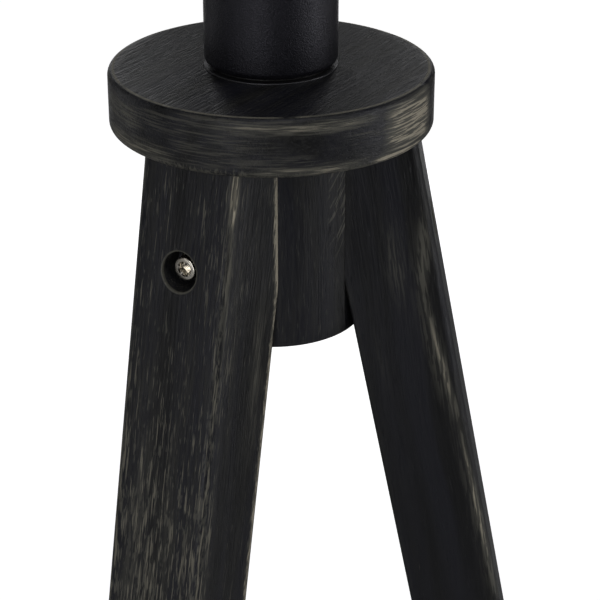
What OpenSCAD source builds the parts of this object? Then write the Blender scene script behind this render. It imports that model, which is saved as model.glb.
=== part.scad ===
// Tripod stand: three splayed timber legs bolted to a turned hub under a round
// cap disc, with a steel column that turns on a spindle above the disc.
// Millimetres, +Z up. The origin is on the floor, on the axis of the column.

/* [Overall] */
// Height of the cap disc's top face above the floor
deck_h = 620; // [480:5:900]
// Height of the column above the cap disc, with its liner's flange
column_h = 280; // [230:5:600]
// Turn of the three legs about the column's axis, in degrees
tripod_turn = -33.7; // [-60:0.1:60]

/* [Cap disc] */
// How far the disc stands out past the legs' outer faces, under the disc
disc_overhang = 7; // [4:0.5:20]
// Thickness of the cap disc
disc_t = 24; // [16:1:36]
// Radius of the round along both rims of the disc
disc_round = 2.6; // [1:0.1:6]

/* [Hub] */
// Diameter of the turned hub
hub_d = 76; // [62:1:92]
// Length of the hub below the cap disc
hub_l = 85; // [70:1:120]
// Radius of the hub's two eased edges
hub_ease = 0.8; // [0.4:0.1:3]

/* [Legs] */
// Width of a leg, across its outer face
leg_w = 45; // [37:1:54]
// Thickness of a leg at the top, square to its outer face
leg_t = 40; // [32:1:48]
// How far a leg's outer face stands out from the hub, under the disc
leg_reach = 21; // [18:0.5:26]
// Lean of the outer face from upright, in degrees
leg_splay = 11; // [6:0.5:16]
// Extra lean of the inner face, which thins the leg towards its foot, in degrees
leg_taper = 0.35; // [0:0.05:0.8]
// Radius of a leg's two outer corners
leg_round_out = 4; // [1:0.5:8]
// Radius of a leg's two inner corners
leg_round_in = 1.2; // [0.5:0.1:4]

/* [Leg bolts and dowels] */
// Diameter of a leg bolt's shank
bolt_d = 6; // [5:1:8]
// Diameter of a leg bolt's round head
bolt_head_d = 10; // [8:0.5:12]
// Height of a leg bolt's head
bolt_head_h = 6; // [4:0.5:8]
// Width across flats of the hex socket in the head
bolt_socket = 5; // [3:0.5:6]
// Depth of the hex socket
bolt_socket_h = 3.2; // [2:0.1:3.8]
// Diameter of the counterbore that the head lies in
counterbore_d = 16; // [14.5:0.5:20]
// Wood between the hub and the bolt's washer
bolt_grip = 18; // [14:0.5:20]
// Outer diameter of a leg bolt's washer
bolt_washer_d = 12; // [11:0.5:13.5]
// Thickness of a leg bolt's washer
bolt_washer_t = 1.6; // [1:0.1:2.5]
// Outer diameter of the threaded insert in the hub
insert_d = 10; // [9:0.5:12]
// Length of the threaded insert
insert_l = 15; // [10:1:16]
// Diameter of a locating dowel between leg and hub
dowel_d = 8; // [6:1:10]
// Length of a dowel inside the hub
dowel_in_hub = 15; // [10:1:16]
// Length of a dowel inside the leg
dowel_in_leg = 14; // [8:1:16]
// Distance of each dowel from the hub's end faces
dowel_edge = 16; // [14:0.5:20]

/* [Feet] */
// Diameter of a foot pad
pad_d = 30; // [22:1:32]
// Thickness of a foot pad
pad_t = 5; // [4:0.5:8]
// How far the foot screw's head lies above the floor
foot_screw_sink = 1; // [0.5:0.1:1.2]
// Diameter of the foot screw's head
foot_screw_head_d = 8; // [7:0.5:10]
// Height of the foot screw's head
foot_screw_head_h = 2.2; // [1.5:0.1:2.4]
// Diameter of the foot screw's shank
foot_screw_d = 4; // [3:0.5:5]
// Length of the foot screw's shank
foot_screw_l = 28; // [16:1:40]

/* [Column] */
// Outer diameter of the column tube
column_d = 54; // [45:1:66]
// Wall of the column tube
column_wall = 2; // [1.5:0.1:3]
// Outer radius of the tube's rolled-in lower edge
column_round = 3.2; // [2.6:0.1:6]
// Width of the flat ring that the rolled lower edge leaves to stand on
column_lip = 6.5; // [5:0.5:7]
// Room that the liner takes inside the tube, all round the socket for a mast
liner_wall = 2.5; // [1.5:0.1:4]
// Depth of the liner below the top of the tube
liner_l = 60; // [30:1:90]
// Thickness of the liner's flange on top of the tube
liner_flange_t = 3; // [2:0.5:5]

/* [Turning spindle] */
// Diameter of the spindle
spindle_d = 12; // [10:1:16]
// Height of the upper bearing plate's top face above the cap disc
bearing_span = 120; // [80:1:140]
// Height of the lower bearing plate's top face above the cap disc
bearing_low = 17; // [16:0.5:24]
// Thickness of each bearing plate
plate_t = 4; // [3:0.5:6]
// Wall of each bearing bush
bush_wall = 2; // [1.5:0.5:3]
// Length of each bush below its flange
bush_l = 8; // [5:0.5:9]
// Thickness of each bush's flange
bush_flange_t = 2; // [1.5:0.5:3]
// Thickness of the steel wear plate on the cap disc
wear_t = 0.6; // [0.5:0.1:1.5]
// Thickness of the thrust washer under the column
thrust_t = 0.7; // [0.5:0.1:2]
// Outer diameter of the large washers on the spindle
spindle_washer_d = 28; // [24:1:32]
// Thickness of the large washers on the spindle
spindle_washer_t = 2.5; // [2:0.5:3]
// Width across flats of the spindle nuts
nut_flats = 18; // [17:0.5:20]
// Height of a full spindle nut
nut_h = 10; // [8:0.5:12]
// Height of the thin clamp nut above the cap disc
clamp_nut_h = 6; // [5:0.5:6.5]

/* [Disc screws] */
// Diameter of the screws that hold the cap disc to the hub
disc_screw_d = 4.5; // [3.5:0.5:5]
// Diameter of their countersunk heads
disc_screw_head_d = 9; // [7:0.5:10]
// Length of the screws, head included
disc_screw_l = 48; // [38:1:56]

/* [Clearances] */
// Radial gap around whatever is screwed, driven or glued in
seat_gap = 0.05; // [0.02:0.01:0.1]
// Radial running gap of the spindle in its bushes
running_gap = 0.05; // [0.02:0.01:0.1]
// Gap between the hub and each leg's hollowed back
cope_gap = 0.1; // [0.05:0.05:0.4]
// Play of the column along its axis
axial_play = 0.2; // [0.1:0.05:0.4]
// Radial gap of the holes that a bolt or the spindle passes through
clearance_gap = 0.3; // [0.2:0.05:0.6]

/* [Hidden] */
$fn = 96;
eps = 1;

stained_wood = [0.09, 0.09, 0.10];
powder_coat = [0.11, 0.11, 0.13];
bright_steel = [0.80, 0.80, 0.78];
pale_wood = [0.76, 0.62, 0.42];
bronze = [0.72, 0.52, 0.28];
black_nylon = [0.05, 0.05, 0.05];
black_rubber = [0.04, 0.04, 0.04];

leg_azimuths = [for (i = [0:2]) tripod_turn - 90 + 120 * i];
deck_under = deck_h - disc_t;
hub_r = hub_d / 2;
disc_r = hub_r + leg_reach + disc_overhang;
hub_bottom = deck_under - hub_l;
cope_r = hub_r + cope_gap;

// Legs: radii of the outer and inner faces where they meet the disc
leg_outer_r = hub_r + leg_reach;
leg_inner_r = leg_outer_r - leg_t / cos(leg_splay);
leg_run = deck_h / cos(leg_splay + leg_taper) + 2 * leg_t;

// Leg bolts, from the hub outwards
bolt_z = deck_under - hub_l / 2;
bolt_seat_r = cope_r + bolt_grip;
bolt_head_r = bolt_seat_r + bolt_washer_t;
insert_sink = 1;
insert_inner_r = hub_r - insert_sink - insert_l;
insert_relief = 2;
bolt_tip_gap = 0.5;
bolt_tip_r = insert_inner_r + bolt_tip_gap;
dowel_zs = [deck_under - dowel_edge, hub_bottom + dowel_edge];

// Feet: the middle of each leg's lower end
foot_drop = deck_under - pad_t;
foot_outer_r = leg_outer_r + foot_drop * tan(leg_splay);
foot_inner_r = leg_inner_r + foot_drop * tan(leg_splay + leg_taper);
foot_r = (foot_outer_r + foot_inner_r) / 2;
foot_screw_head_top = foot_screw_sink + foot_screw_head_h;
foot_screw_crown = 1.6;
foot_hole_h = foot_screw_head_top + foot_screw_l - pad_t + seat_gap;

// Column and spindle, upwards from the disc
column_r = column_d / 2;
column_bore_r = column_r - column_wall;
wear_top = deck_h + wear_t;
thrust_top = wear_top + thrust_t;
column_z = thrust_top + axial_play / 2;
column_top = deck_h + column_h - liner_flange_t;
liner_round = 1.2;
liner_ease = 0.3;
lip_r = column_r - column_round - column_lip;
socket_r = column_bore_r - liner_wall;
spindle_r = spindle_d / 2;
spindle_hole_r = spindle_r + clearance_gap;
bush_bore_r = spindle_r + running_gap;
bush_outer_r = bush_bore_r + bush_wall;
bush_flange_rim = 3;
bush_flange_r = bush_outer_r + bush_flange_rim;
low_plate_top = deck_h + bearing_low;
high_plate_top = deck_h + bearing_span;
retainer_z = high_plate_top + bush_flange_t + axial_play;
spindle_end = 3;
nut_crown = 0.6;
spindle_top = retainer_z + spindle_washer_t + nut_h + spindle_end;
base_recess_gap = 2;
base_recess_r = spindle_washer_d / 2 + base_recess_gap;
base_nut_sink = 1.5;
base_recess_h = spindle_washer_t + nut_h + base_nut_sink;
disc_screw_r = (spindle_hole_r + column_r) / 2;
disc_screw_sink = 0.5;

// Places a child that points along +X at one leg's azimuth
module at_leg(i) {
    rotate([0, 0, leg_azimuths[i]]) children();
}

// Places a child once for each leg
module at_each_leg() {
    for (i = [0:2]) at_leg(i) children();
}

// Places a child that stands along +Z so that it points outwards along +X
module outwards(r, z) {
    translate([r, 0, z]) rotate([0, 90, 0]) children();
}

// Half profile of a turned block with rounded rims, for rotate_extrude
module round_rim_profile(r, h, top_round, low_round) {
    difference() {
        square([r, h]);
        translate([r - top_round, h - top_round]) square(top_round + eps);
        translate([r - low_round, -eps]) square([low_round + eps, low_round + eps]);
    }
    translate([r - top_round, h - top_round]) circle(top_round);
    translate([r - low_round, low_round]) circle(low_round);
}

// Flat bar section that ends at x = 0 with two rounded corners
module bar_section(depth, w, corner) {
    translate([-depth, -w / 2]) square([depth - corner, w]);
    translate([-depth, -w / 2 + corner]) square([depth, w - 2 * corner]);
    for (side = [-1, 1]) translate([-corner, side * (w / 2 - corner)]) circle(corner);
}

// Hexagon nut with a through hole, standing on z = 0
module hex_nut(flats, h, hole_r) {
    difference() {
        intersection() {
            cylinder(d = flats / cos(30), h = h, $fn = 6);
            cylinder(d1 = flats / cos(30) + 2 * h, d2 = flats - nut_crown, h = h + nut_crown);
        }
        translate([0, 0, -eps]) cylinder(r = hole_r, h = h + 2 * eps);
    }
}

// Flat washer standing on z = 0
module washer(outer_r, hole_r, t) {
    difference() {
        cylinder(r = outer_r, h = t);
        translate([0, 0, -eps]) cylinder(r = hole_r, h = t + 2 * eps);
    }
}

// Countersunk screw, head up, with its head's top at z = 0
module countersunk_screw(head_d, shank_d, l) {
    head_h = (head_d - shank_d) / 2;
    tip_h = shank_d;
    tip_d = 0.6;
    translate([0, 0, -head_h]) cylinder(d1 = shank_d, d2 = head_d, h = head_h);
    translate([0, 0, -l + tip_h]) cylinder(d = shank_d, h = l - tip_h - head_h);
    translate([0, 0, -l]) cylinder(d1 = tip_d, d2 = shank_d, h = tip_h);
}

// Room for a countersunk screw, with its head's top at z = 0 and open above
module countersunk_hole(head_d, shank_d, l, above) {
    head_h = (head_d - shank_d) / 2;
    translate([0, 0, -head_h])
        cylinder(d1 = shank_d + 2 * seat_gap, d2 = head_d + 2 * seat_gap, h = head_h);
    translate([0, 0, -l - seat_gap]) cylinder(d = shank_d + 2 * seat_gap, h = l);
    cylinder(d = head_d + 2 * seat_gap, h = above);
}

// Places a child at each disc screw, midway between the legs
module at_disc_screws() {
    for (a = leg_azimuths)
        rotate([0, 0, a + 60]) translate([disc_screw_r, 0, deck_h - disc_screw_sink]) children();
}

module top_disc() {
    color(stained_wood)
    difference() {
        translate([0, 0, deck_under])
            rotate_extrude() round_rim_profile(disc_r, disc_t, disc_round, disc_round);
        translate([0, 0, deck_under - eps]) cylinder(r = spindle_hole_r, h = disc_t + 2 * eps);
        at_disc_screws()
            countersunk_hole(disc_screw_head_d, disc_screw_d, disc_screw_l, disc_screw_sink + eps);
    }
}

module hub() {
    color(stained_wood)
    difference() {
        translate([0, 0, hub_bottom])
            rotate_extrude() round_rim_profile(hub_r, hub_l, hub_ease, hub_ease);
        translate([0, 0, hub_bottom - eps]) cylinder(r = spindle_hole_r, h = hub_l + 2 * eps);
        translate([0, 0, hub_bottom - eps]) cylinder(r = base_recess_r, h = base_recess_h + eps);
        at_disc_screws()
            countersunk_hole(disc_screw_head_d, disc_screw_d, disc_screw_l, eps);
        at_each_leg() {
            outwards(insert_inner_r - insert_relief, bolt_z)
                cylinder(d = insert_d + 2 * seat_gap, h = insert_relief + insert_l + insert_sink + eps);
            for (z = dowel_zs)
                outwards(hub_r - dowel_in_hub - seat_gap, z)
                    cylinder(d = dowel_d + 2 * seat_gap, h = dowel_in_hub + seat_gap + eps);
        }
    }
}

// One leg's bar: its outer and inner faces lean a little differently
module leg_bar() {
    intersection() {
        translate([leg_outer_r, 0, deck_under]) rotate([0, -leg_splay, 0])
            translate([0, 0, -leg_run]) linear_extrude(leg_run + leg_t)
                bar_section(2 * leg_t, leg_w, leg_round_out);
        translate([leg_inner_r, 0, deck_under]) rotate([0, -leg_splay - leg_taper, 0])
            translate([0, 0, -leg_run]) linear_extrude(leg_run + leg_t)
                mirror([1, 0]) bar_section(2 * leg_t, leg_w, leg_round_in);
        translate([0, -leg_w, pad_t]) cube([2 * foot_outer_r, 2 * leg_w, deck_under - pad_t]);
    }
}

module leg(i) {
    color(stained_wood)
    at_leg(i) difference() {
        leg_bar();
        translate([0, 0, hub_bottom - hub_l]) cylinder(r = cope_r, h = 2 * hub_l + disc_t);
        outwards(0, bolt_z) cylinder(r = bolt_d / 2 + clearance_gap, h = 2 * disc_r);
        outwards(bolt_seat_r, bolt_z) cylinder(d = counterbore_d, h = 2 * disc_r);
        for (z = dowel_zs)
            outwards(0, z) cylinder(d = dowel_d + 2 * seat_gap, h = cope_r + dowel_in_leg + seat_gap);
        translate([foot_r, 0, pad_t - eps])
            cylinder(d = foot_screw_d + 2 * seat_gap, h = foot_hole_h + eps);
    }
}

module leg_front_left() { leg(0); }
module leg_right() { leg(1); }
module leg_back_left() { leg(2); }

module leg_bolts() {
    chamfer = 0.6;
    color(bright_steel)
    at_each_leg() {
        outwards(bolt_tip_r, bolt_z) cylinder(d = bolt_d, h = bolt_head_r - bolt_tip_r);
        outwards(bolt_head_r, bolt_z) difference() {
            union() {
                cylinder(d = bolt_head_d, h = bolt_head_h - chamfer);
                translate([0, 0, bolt_head_h - chamfer])
                    cylinder(d1 = bolt_head_d, d2 = bolt_head_d - 2 * chamfer, h = chamfer);
            }
            translate([0, 0, bolt_head_h - bolt_socket_h])
                cylinder(d = bolt_socket / cos(30), h = bolt_socket_h + eps, $fn = 6);
        }
    }
}

module leg_bolt_washers() {
    color(bright_steel)
    at_each_leg() outwards(bolt_seat_r, bolt_z)
        washer(bolt_washer_d / 2, bolt_d / 2 + clearance_gap / 2, bolt_washer_t);
}

module leg_inserts() {
    color(bronze)
    at_each_leg() outwards(insert_inner_r, bolt_z)
        washer(insert_d / 2, bolt_d / 2 + seat_gap, insert_l);
}

module leg_dowels() {
    color(pale_wood)
    at_each_leg() for (z = dowel_zs)
        outwards(hub_r - dowel_in_hub, z)
            cylinder(d = dowel_d, h = dowel_in_hub + cope_gap + dowel_in_leg);
}

// One foot pad, with its screw's head recessed from below
module foot_pad(i) {
    edge = 0.8;
    color(black_rubber)
    at_leg(i) translate([foot_r, 0, 0]) difference() {
        union() {
            cylinder(d1 = pad_d - 2 * edge, d2 = pad_d, h = edge);
            translate([0, 0, edge]) cylinder(d = pad_d, h = pad_t - edge);
        }
        translate([0, 0, -eps]) cylinder(d = foot_screw_d + 2 * seat_gap, h = pad_t + 2 * eps);
        translate([0, 0, -eps])
            cylinder(d = foot_screw_head_d + 2 * clearance_gap, h = foot_screw_head_top + eps);
    }
}

module foot_pad_front_left() { foot_pad(0); }
module foot_pad_right() { foot_pad(1); }
module foot_pad_back_left() { foot_pad(2); }

module foot_screws() {
    color(bright_steel)
    at_each_leg() translate([foot_r, 0, foot_screw_sink]) {
        cylinder(d1 = foot_screw_head_d - foot_screw_crown, d2 = foot_screw_head_d, h = foot_screw_head_h);
        cylinder(d = foot_screw_d, h = foot_screw_head_h + foot_screw_l);
    }
}

module disc_screws() {
    color(bright_steel)
    at_disc_screws() countersunk_screw(disc_screw_head_d, disc_screw_d, disc_screw_l);
}

module spindle() {
    color(bright_steel)
    translate([0, 0, hub_bottom]) cylinder(r = spindle_r, h = spindle_top - hub_bottom);
}

module base_washer() {
    color(bright_steel)
    translate([0, 0, hub_bottom + base_recess_h - spindle_washer_t])
        washer(spindle_washer_d / 2, spindle_r + clearance_gap, spindle_washer_t);
}

module base_nut() {
    color(bright_steel)
    translate([0, 0, hub_bottom + base_recess_h - spindle_washer_t]) mirror([0, 0, 1])
        hex_nut(nut_flats, nut_h, spindle_r + seat_gap);
}

module clamp_nut() {
    color(bright_steel)
    translate([0, 0, wear_top]) hex_nut(nut_flats, clamp_nut_h, spindle_r + seat_gap);
}

module wear_plate() {
    color(bright_steel)
    translate([0, 0, deck_h]) washer(column_r, spindle_hole_r, wear_t);
}

module thrust_washer() {
    color(black_nylon)
    translate([0, 0, wear_top]) washer(column_r - column_round, lip_r, thrust_t);
}

// Wall of the tube: upright, rolled inwards at its foot and closed to a flat lip
module column_tube() {
    color(powder_coat)
    translate([0, 0, column_z]) rotate_extrude() {
        translate([column_bore_r, column_round])
            square([column_wall, column_top - column_z - column_round]);
        translate([lip_r, 0]) square([column_r - column_round - lip_r, column_wall]);
        intersection() {
            translate([column_r - column_round, 0]) square(column_round);
            translate([column_r - column_round, column_round]) difference() {
                circle(column_round);
                circle(column_round - column_wall);
            }
        }
    }
}

// Steel plate welded across the tube, with a seat for a bush
module bearing_plate(top_z) {
    color(bright_steel)
    translate([0, 0, top_z - plate_t])
        washer(column_bore_r - seat_gap, bush_outer_r + seat_gap, plate_t);
}

module lower_bearing_plate() { bearing_plate(low_plate_top); }
module upper_bearing_plate() { bearing_plate(high_plate_top); }

// Flanged bush, hung in its plate by the flange
module bush(top_z) {
    color(bronze)
    translate([0, 0, top_z - bush_l]) difference() {
        union() {
            cylinder(r = bush_outer_r, h = bush_l);
            translate([0, 0, bush_l]) cylinder(r = bush_flange_r, h = bush_flange_t);
        }
        translate([0, 0, -eps]) cylinder(r = bush_bore_r, h = bush_l + bush_flange_t + 2 * eps);
    }
}

module lower_bush() { bush(low_plate_top); }
module upper_bush() { bush(high_plate_top); }

module retaining_washer() {
    color(bright_steel)
    translate([0, 0, retainer_z])
        washer(spindle_washer_d / 2, spindle_r + seat_gap, spindle_washer_t);
}

module retaining_nut() {
    color(bright_steel)
    translate([0, 0, retainer_z + spindle_washer_t])
        hex_nut(nut_flats, nut_h, spindle_r + seat_gap);
}

module socket_liner() {
    color(black_nylon)
    translate([0, 0, column_top - liner_l]) difference() {
        union() {
            cylinder(r = column_bore_r - seat_gap, h = liner_l);
            translate([0, 0, liner_l])
                rotate_extrude() round_rim_profile(column_r, liner_flange_t, liner_round, liner_ease);
        }
        translate([0, 0, -eps]) cylinder(r = socket_r, h = liner_l + liner_flange_t + 2 * eps);
    }
}

top_disc();
hub();
leg_front_left();
leg_right();
leg_back_left();
leg_bolts();
leg_bolt_washers();
leg_inserts();
leg_dowels();
foot_pad_front_left();
foot_pad_right();
foot_pad_back_left();
foot_screws();
disc_screws();
spindle();
base_washer();
base_nut();
clamp_nut();
wear_plate();
thrust_washer();
column_tube();
lower_bearing_plate();
lower_bush();
upper_bearing_plate();
upper_bush();
retaining_washer();
retaining_nut();
socket_liner();
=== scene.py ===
"""Finished pieces, finishes, light and camera of the tripod stand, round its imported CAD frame."""
import logging
import math
from dataclasses import dataclass, field
from enum import Enum
from typing import Callable, Sequence

import bmesh
import bpy
from mathutils import Euler, Matrix, Vector


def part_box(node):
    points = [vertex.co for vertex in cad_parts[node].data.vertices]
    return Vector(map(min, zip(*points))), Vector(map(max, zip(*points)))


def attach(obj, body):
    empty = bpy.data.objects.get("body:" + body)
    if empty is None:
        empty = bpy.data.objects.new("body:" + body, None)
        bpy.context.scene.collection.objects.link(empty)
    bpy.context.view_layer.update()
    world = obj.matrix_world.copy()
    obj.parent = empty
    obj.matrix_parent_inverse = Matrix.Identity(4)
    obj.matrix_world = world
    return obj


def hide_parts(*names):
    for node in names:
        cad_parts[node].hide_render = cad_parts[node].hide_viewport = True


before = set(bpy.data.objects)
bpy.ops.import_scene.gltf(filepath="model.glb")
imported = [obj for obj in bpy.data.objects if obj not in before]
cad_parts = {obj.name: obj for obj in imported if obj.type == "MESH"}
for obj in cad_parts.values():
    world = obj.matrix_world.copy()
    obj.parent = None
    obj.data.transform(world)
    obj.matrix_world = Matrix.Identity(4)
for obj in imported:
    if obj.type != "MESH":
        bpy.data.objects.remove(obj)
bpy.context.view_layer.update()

log = logging.getLogger("tripod_stand")
MM = 0.001
TRIPOD, COLUMN = "tripod", "column"
SPINDLE_HOLE = 6.3 * MM
WHITE = (1.0, 1.0, 1.0)

Colour = tuple[float, float, float]
Corner = tuple[float, float, float]
Outline = list[tuple[float, float]]
Socket = bpy.types.NodeSocket
Piece = bpy.types.Object


# ---------------------------------------------------------------- sizes from the frame

def top_of(node: str) -> float:
    """Height of a CAD node's top, in metres."""
    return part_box(node)[1][2]


def foot_of(node: str) -> float:
    """Height of a CAD node's lowest point, in metres."""
    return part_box(node)[0][2]


def radius_of(node: str) -> float:
    """Outer radius of a CAD node that stands round the column's axis, in metres."""
    low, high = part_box(node)
    return (high[0] - low[0]) / 2


def leg_azimuths() -> dict[str, float]:
    """Azimuth of each leg in radians, taken from the middle of its foot pad."""
    turns = {}
    for side in ("front_left", "right", "back_left"):
        low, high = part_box(f"foot_pad_{side}")
        turns[side] = math.atan2(low[1] + high[1], low[0] + high[0])
    return turns


# ---------------------------------------------------------------- bench work

def clear_selection() -> None:
    """Leaves edit mode and deselects every object."""
    if bpy.context.mode != "OBJECT":
        bpy.ops.object.mode_set(mode="OBJECT")
    bpy.ops.object.select_all(action="DESELECT")


def take(piece: Piece) -> None:
    """Makes one piece the only selected object and the active one."""
    clear_selection()
    piece.select_set(True)
    bpy.context.view_layer.objects.active = piece


def rounded(corners: Sequence[Corner], steps: int = 5) -> Outline:
    """Works out a closed outline with rounded corners.

    Args:
        corners: Radius, height and rounding of each corner in order, in metres.
        steps: Straight pieces in each rounded corner.

    Returns:
        Points of the outline as (radius, height).
    """
    points: Outline = []
    for index, (across, height, rounding) in enumerate(corners):
        here = Vector((across, height))
        back = Vector(corners[index - 1][:2]) - here
        ahead = Vector(corners[(index + 1) % len(corners)][:2]) - here
        if rounding <= 0:
            points.append((across, height))
            continue
        back.normalize()
        ahead.normalize()
        half = back.angle(ahead) / 2
        centre = here + (back + ahead).normalized() * rounding / math.sin(half)
        start = here + back * rounding / math.tan(half) - centre
        end = here + ahead * rounding / math.tan(half) - centre
        begin = math.atan2(start.y, start.x)
        sweep = (math.atan2(end.y, end.x) - begin + math.pi) % math.tau - math.pi
        for step in range(steps + 1):
            turn = begin + sweep * step / steps
            points.append((centre.x + rounding * math.cos(turn), centre.y + rounding * math.sin(turn)))
    return points


def spaced(outline: Outline, longest: float) -> Outline:
    """Adds points so that no straight of a closed outline is longer than longest."""
    points: Outline = []
    for index, start in enumerate(outline):
        end = outline[(index + 1) % len(outline)]
        parts = max(1, math.ceil(math.dist(start, end) / longest))
        for part in range(parts):
            share = part / parts
            points.append((start[0] + (end[0] - start[0]) * share,
                           start[1] + (end[1] - start[1]) * share))
    return points


def threaded(low: float, high: float, crest: float, root: float, pitch: float) -> Outline:
    """Outline of a threaded stretch, as rings a pitch apart, from low to high."""
    turns = int((high - low) / pitch)
    points: Outline = []
    for turn in range(turns):
        base = low + turn * pitch
        points += [(root, base), (crest, base + 0.45 * pitch), (crest, base + 0.6 * pitch)]
    return points + [(root, low + turns * pitch)]


def turned(name: str, outline: Outline, steps: int = 96) -> Piece:
    """Turns a closed outline of (radius, height) points about the Z axis.

    Args:
        name: Name of the new piece.
        outline: Points of the half section, in metres.
        steps: Facets round the piece.

    Returns:
        The turned piece, closed and with its faces outwards.
    """
    clear_selection()
    bpy.ops.mesh.primitive_circle_add(vertices=len(outline), radius=1.0, fill_type="NOTHING")
    piece = bpy.context.object
    piece.name = name
    bpy.ops.object.mode_set(mode="EDIT")
    section = bmesh.from_edit_mesh(piece.data)
    for point, (across, height) in zip(section.verts, outline):
        point.co = (across, 0.0, height)
    bmesh.update_edit_mesh(piece.data)
    bpy.ops.mesh.select_all(action="SELECT")
    bpy.ops.mesh.spin(steps=steps, angle=math.tau, center=(0, 0, 0), axis=(0, 0, 1))
    bpy.ops.mesh.select_all(action="SELECT")
    bpy.ops.mesh.remove_doubles(threshold=1e-6)
    bpy.ops.mesh.delete_loose()
    bpy.ops.mesh.select_all(action="SELECT")
    bpy.ops.mesh.normals_make_consistent(inside=False)
    bpy.ops.object.mode_set(mode="OBJECT")
    return piece


def prism(name: str, sides: int, radius: float, low: float, high: float) -> Piece:
    """An upright prism with that many sides, between two heights."""
    clear_selection()
    bpy.ops.mesh.primitive_cylinder_add(
        vertices=sides, radius=radius, depth=high - low, location=(0, 0, (low + high) / 2))
    piece = bpy.context.object
    piece.name = name
    bpy.ops.object.transform_apply(location=True, rotation=True, scale=True)
    return piece


def settle(piece: Piece, place: Matrix) -> Piece:
    """Puts a piece in its place and leaves that place in its mesh."""
    take(piece)
    piece.matrix_world = place
    bpy.ops.object.transform_apply(location=True, rotation=True, scale=True)
    return piece


def combine(piece: Piece, tool: Piece, operation: str = "DIFFERENCE") -> Piece:
    """Cuts a piece with another one, or keeps what they share, and uses the other one up."""
    take(piece)
    modifier = piece.modifiers.new("tool", "BOOLEAN")
    modifier.operation, modifier.object, modifier.solver = operation, tool, "EXACT"
    bpy.ops.object.modifier_apply(modifier=modifier.name)
    bpy.data.objects.remove(tool)
    return piece


def bevel_where(piece: Piece, width: float, steps: int, chosen: Callable[[Vector, Vector], bool]) -> None:
    """Bevels the edges whose two ends pass the test.

    Args:
        piece: The piece to work on.
        width: Width of the bevel, in metres.
        steps: Segments of the bevel.
        chosen: Test of an edge's two ends.
    """
    take(piece)
    bpy.ops.object.mode_set(mode="EDIT")
    bpy.ops.mesh.select_mode(type="EDGE")
    bpy.ops.mesh.select_all(action="DESELECT")
    mesh = bmesh.from_edit_mesh(piece.data)
    for edge in mesh.edges:
        if chosen(edge.verts[0].co, edge.verts[1].co):
            edge.select_set(True)
    bmesh.update_edit_mesh(piece.data)
    bpy.ops.mesh.bevel(offset=width, segments=steps, affect="EDGES", profile=0.5)
    bpy.ops.object.mode_set(mode="OBJECT")


def slice_along(piece: Piece, normal: Vector, places: Sequence[float]) -> None:
    """Runs flat cuts through a piece that stays whole, so that it has edges there."""
    take(piece)
    bpy.ops.object.mode_set(mode="EDIT")
    for place in places:
        bpy.ops.mesh.select_all(action="SELECT")
        bpy.ops.mesh.bisect(plane_co=normal * place, plane_no=normal)
    bpy.ops.object.mode_set(mode="OBJECT")


def hand_worked(piece: Piece, depth: float, size: float) -> None:
    """Gives a piece the slight unevenness of sanded or formed stock.

    Args:
        piece: The piece to work on.
        depth: Height of the unevenness, in metres.
        size: Size of one swell, in metres.
    """
    take(piece)
    swell = bpy.data.textures.new("swell", "CLOUDS")
    swell.noise_scale = size
    modifier = piece.modifiers.new("swell", "DISPLACE")
    modifier.texture, modifier.texture_coords = swell, "LOCAL"
    modifier.strength, modifier.mid_level = depth, 0.5
    bpy.ops.object.modifier_apply(modifier=modifier.name)
    bpy.data.textures.remove(swell)


def copied(piece: Piece, name: str) -> Piece:
    """A copy of a piece with its own mesh."""
    twin = piece.copy()
    twin.data = piece.data.copy()
    twin.name = name
    bpy.context.scene.collection.objects.link(twin)
    return twin


def hand_over(piece: Piece, body: str, material: bpy.types.Material,
              nodes: Sequence[str], smooth: float = 32.0) -> None:
    """Smooths and dresses a finished piece and fixes it to the frame.

    Args:
        piece: The finished piece.
        body: CAD body that it moves with.
        material: Its finish.
        nodes: CAD nodes that it stands for.
        smooth: Edges under this angle are smooth, in degrees.
    """
    take(piece)
    bpy.ops.object.shade_smooth_by_angle(angle=math.radians(smooth))
    piece.data.materials.clear()
    piece.data.materials.append(material)
    piece.data.name = piece.name
    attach(piece, body)
    if nodes:
        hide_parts(*nodes)
    log.info("%s: %d faces, on %s, for %s", piece.name, len(piece.data.polygons), body,
             ", ".join(nodes) or "no node")


def dress_node(node: str, material: bpy.types.Material) -> None:
    """Gives a CAD node that is kept as it is a procedural finish."""
    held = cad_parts[node]
    for slot in held.material_slots:
        slot.material = material
    if not held.material_slots:
        held.data.materials.append(material)
    log.info("%s: CAD node kept, finish %s", node, material.name)


# ---------------------------------------------------------------- node work

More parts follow.
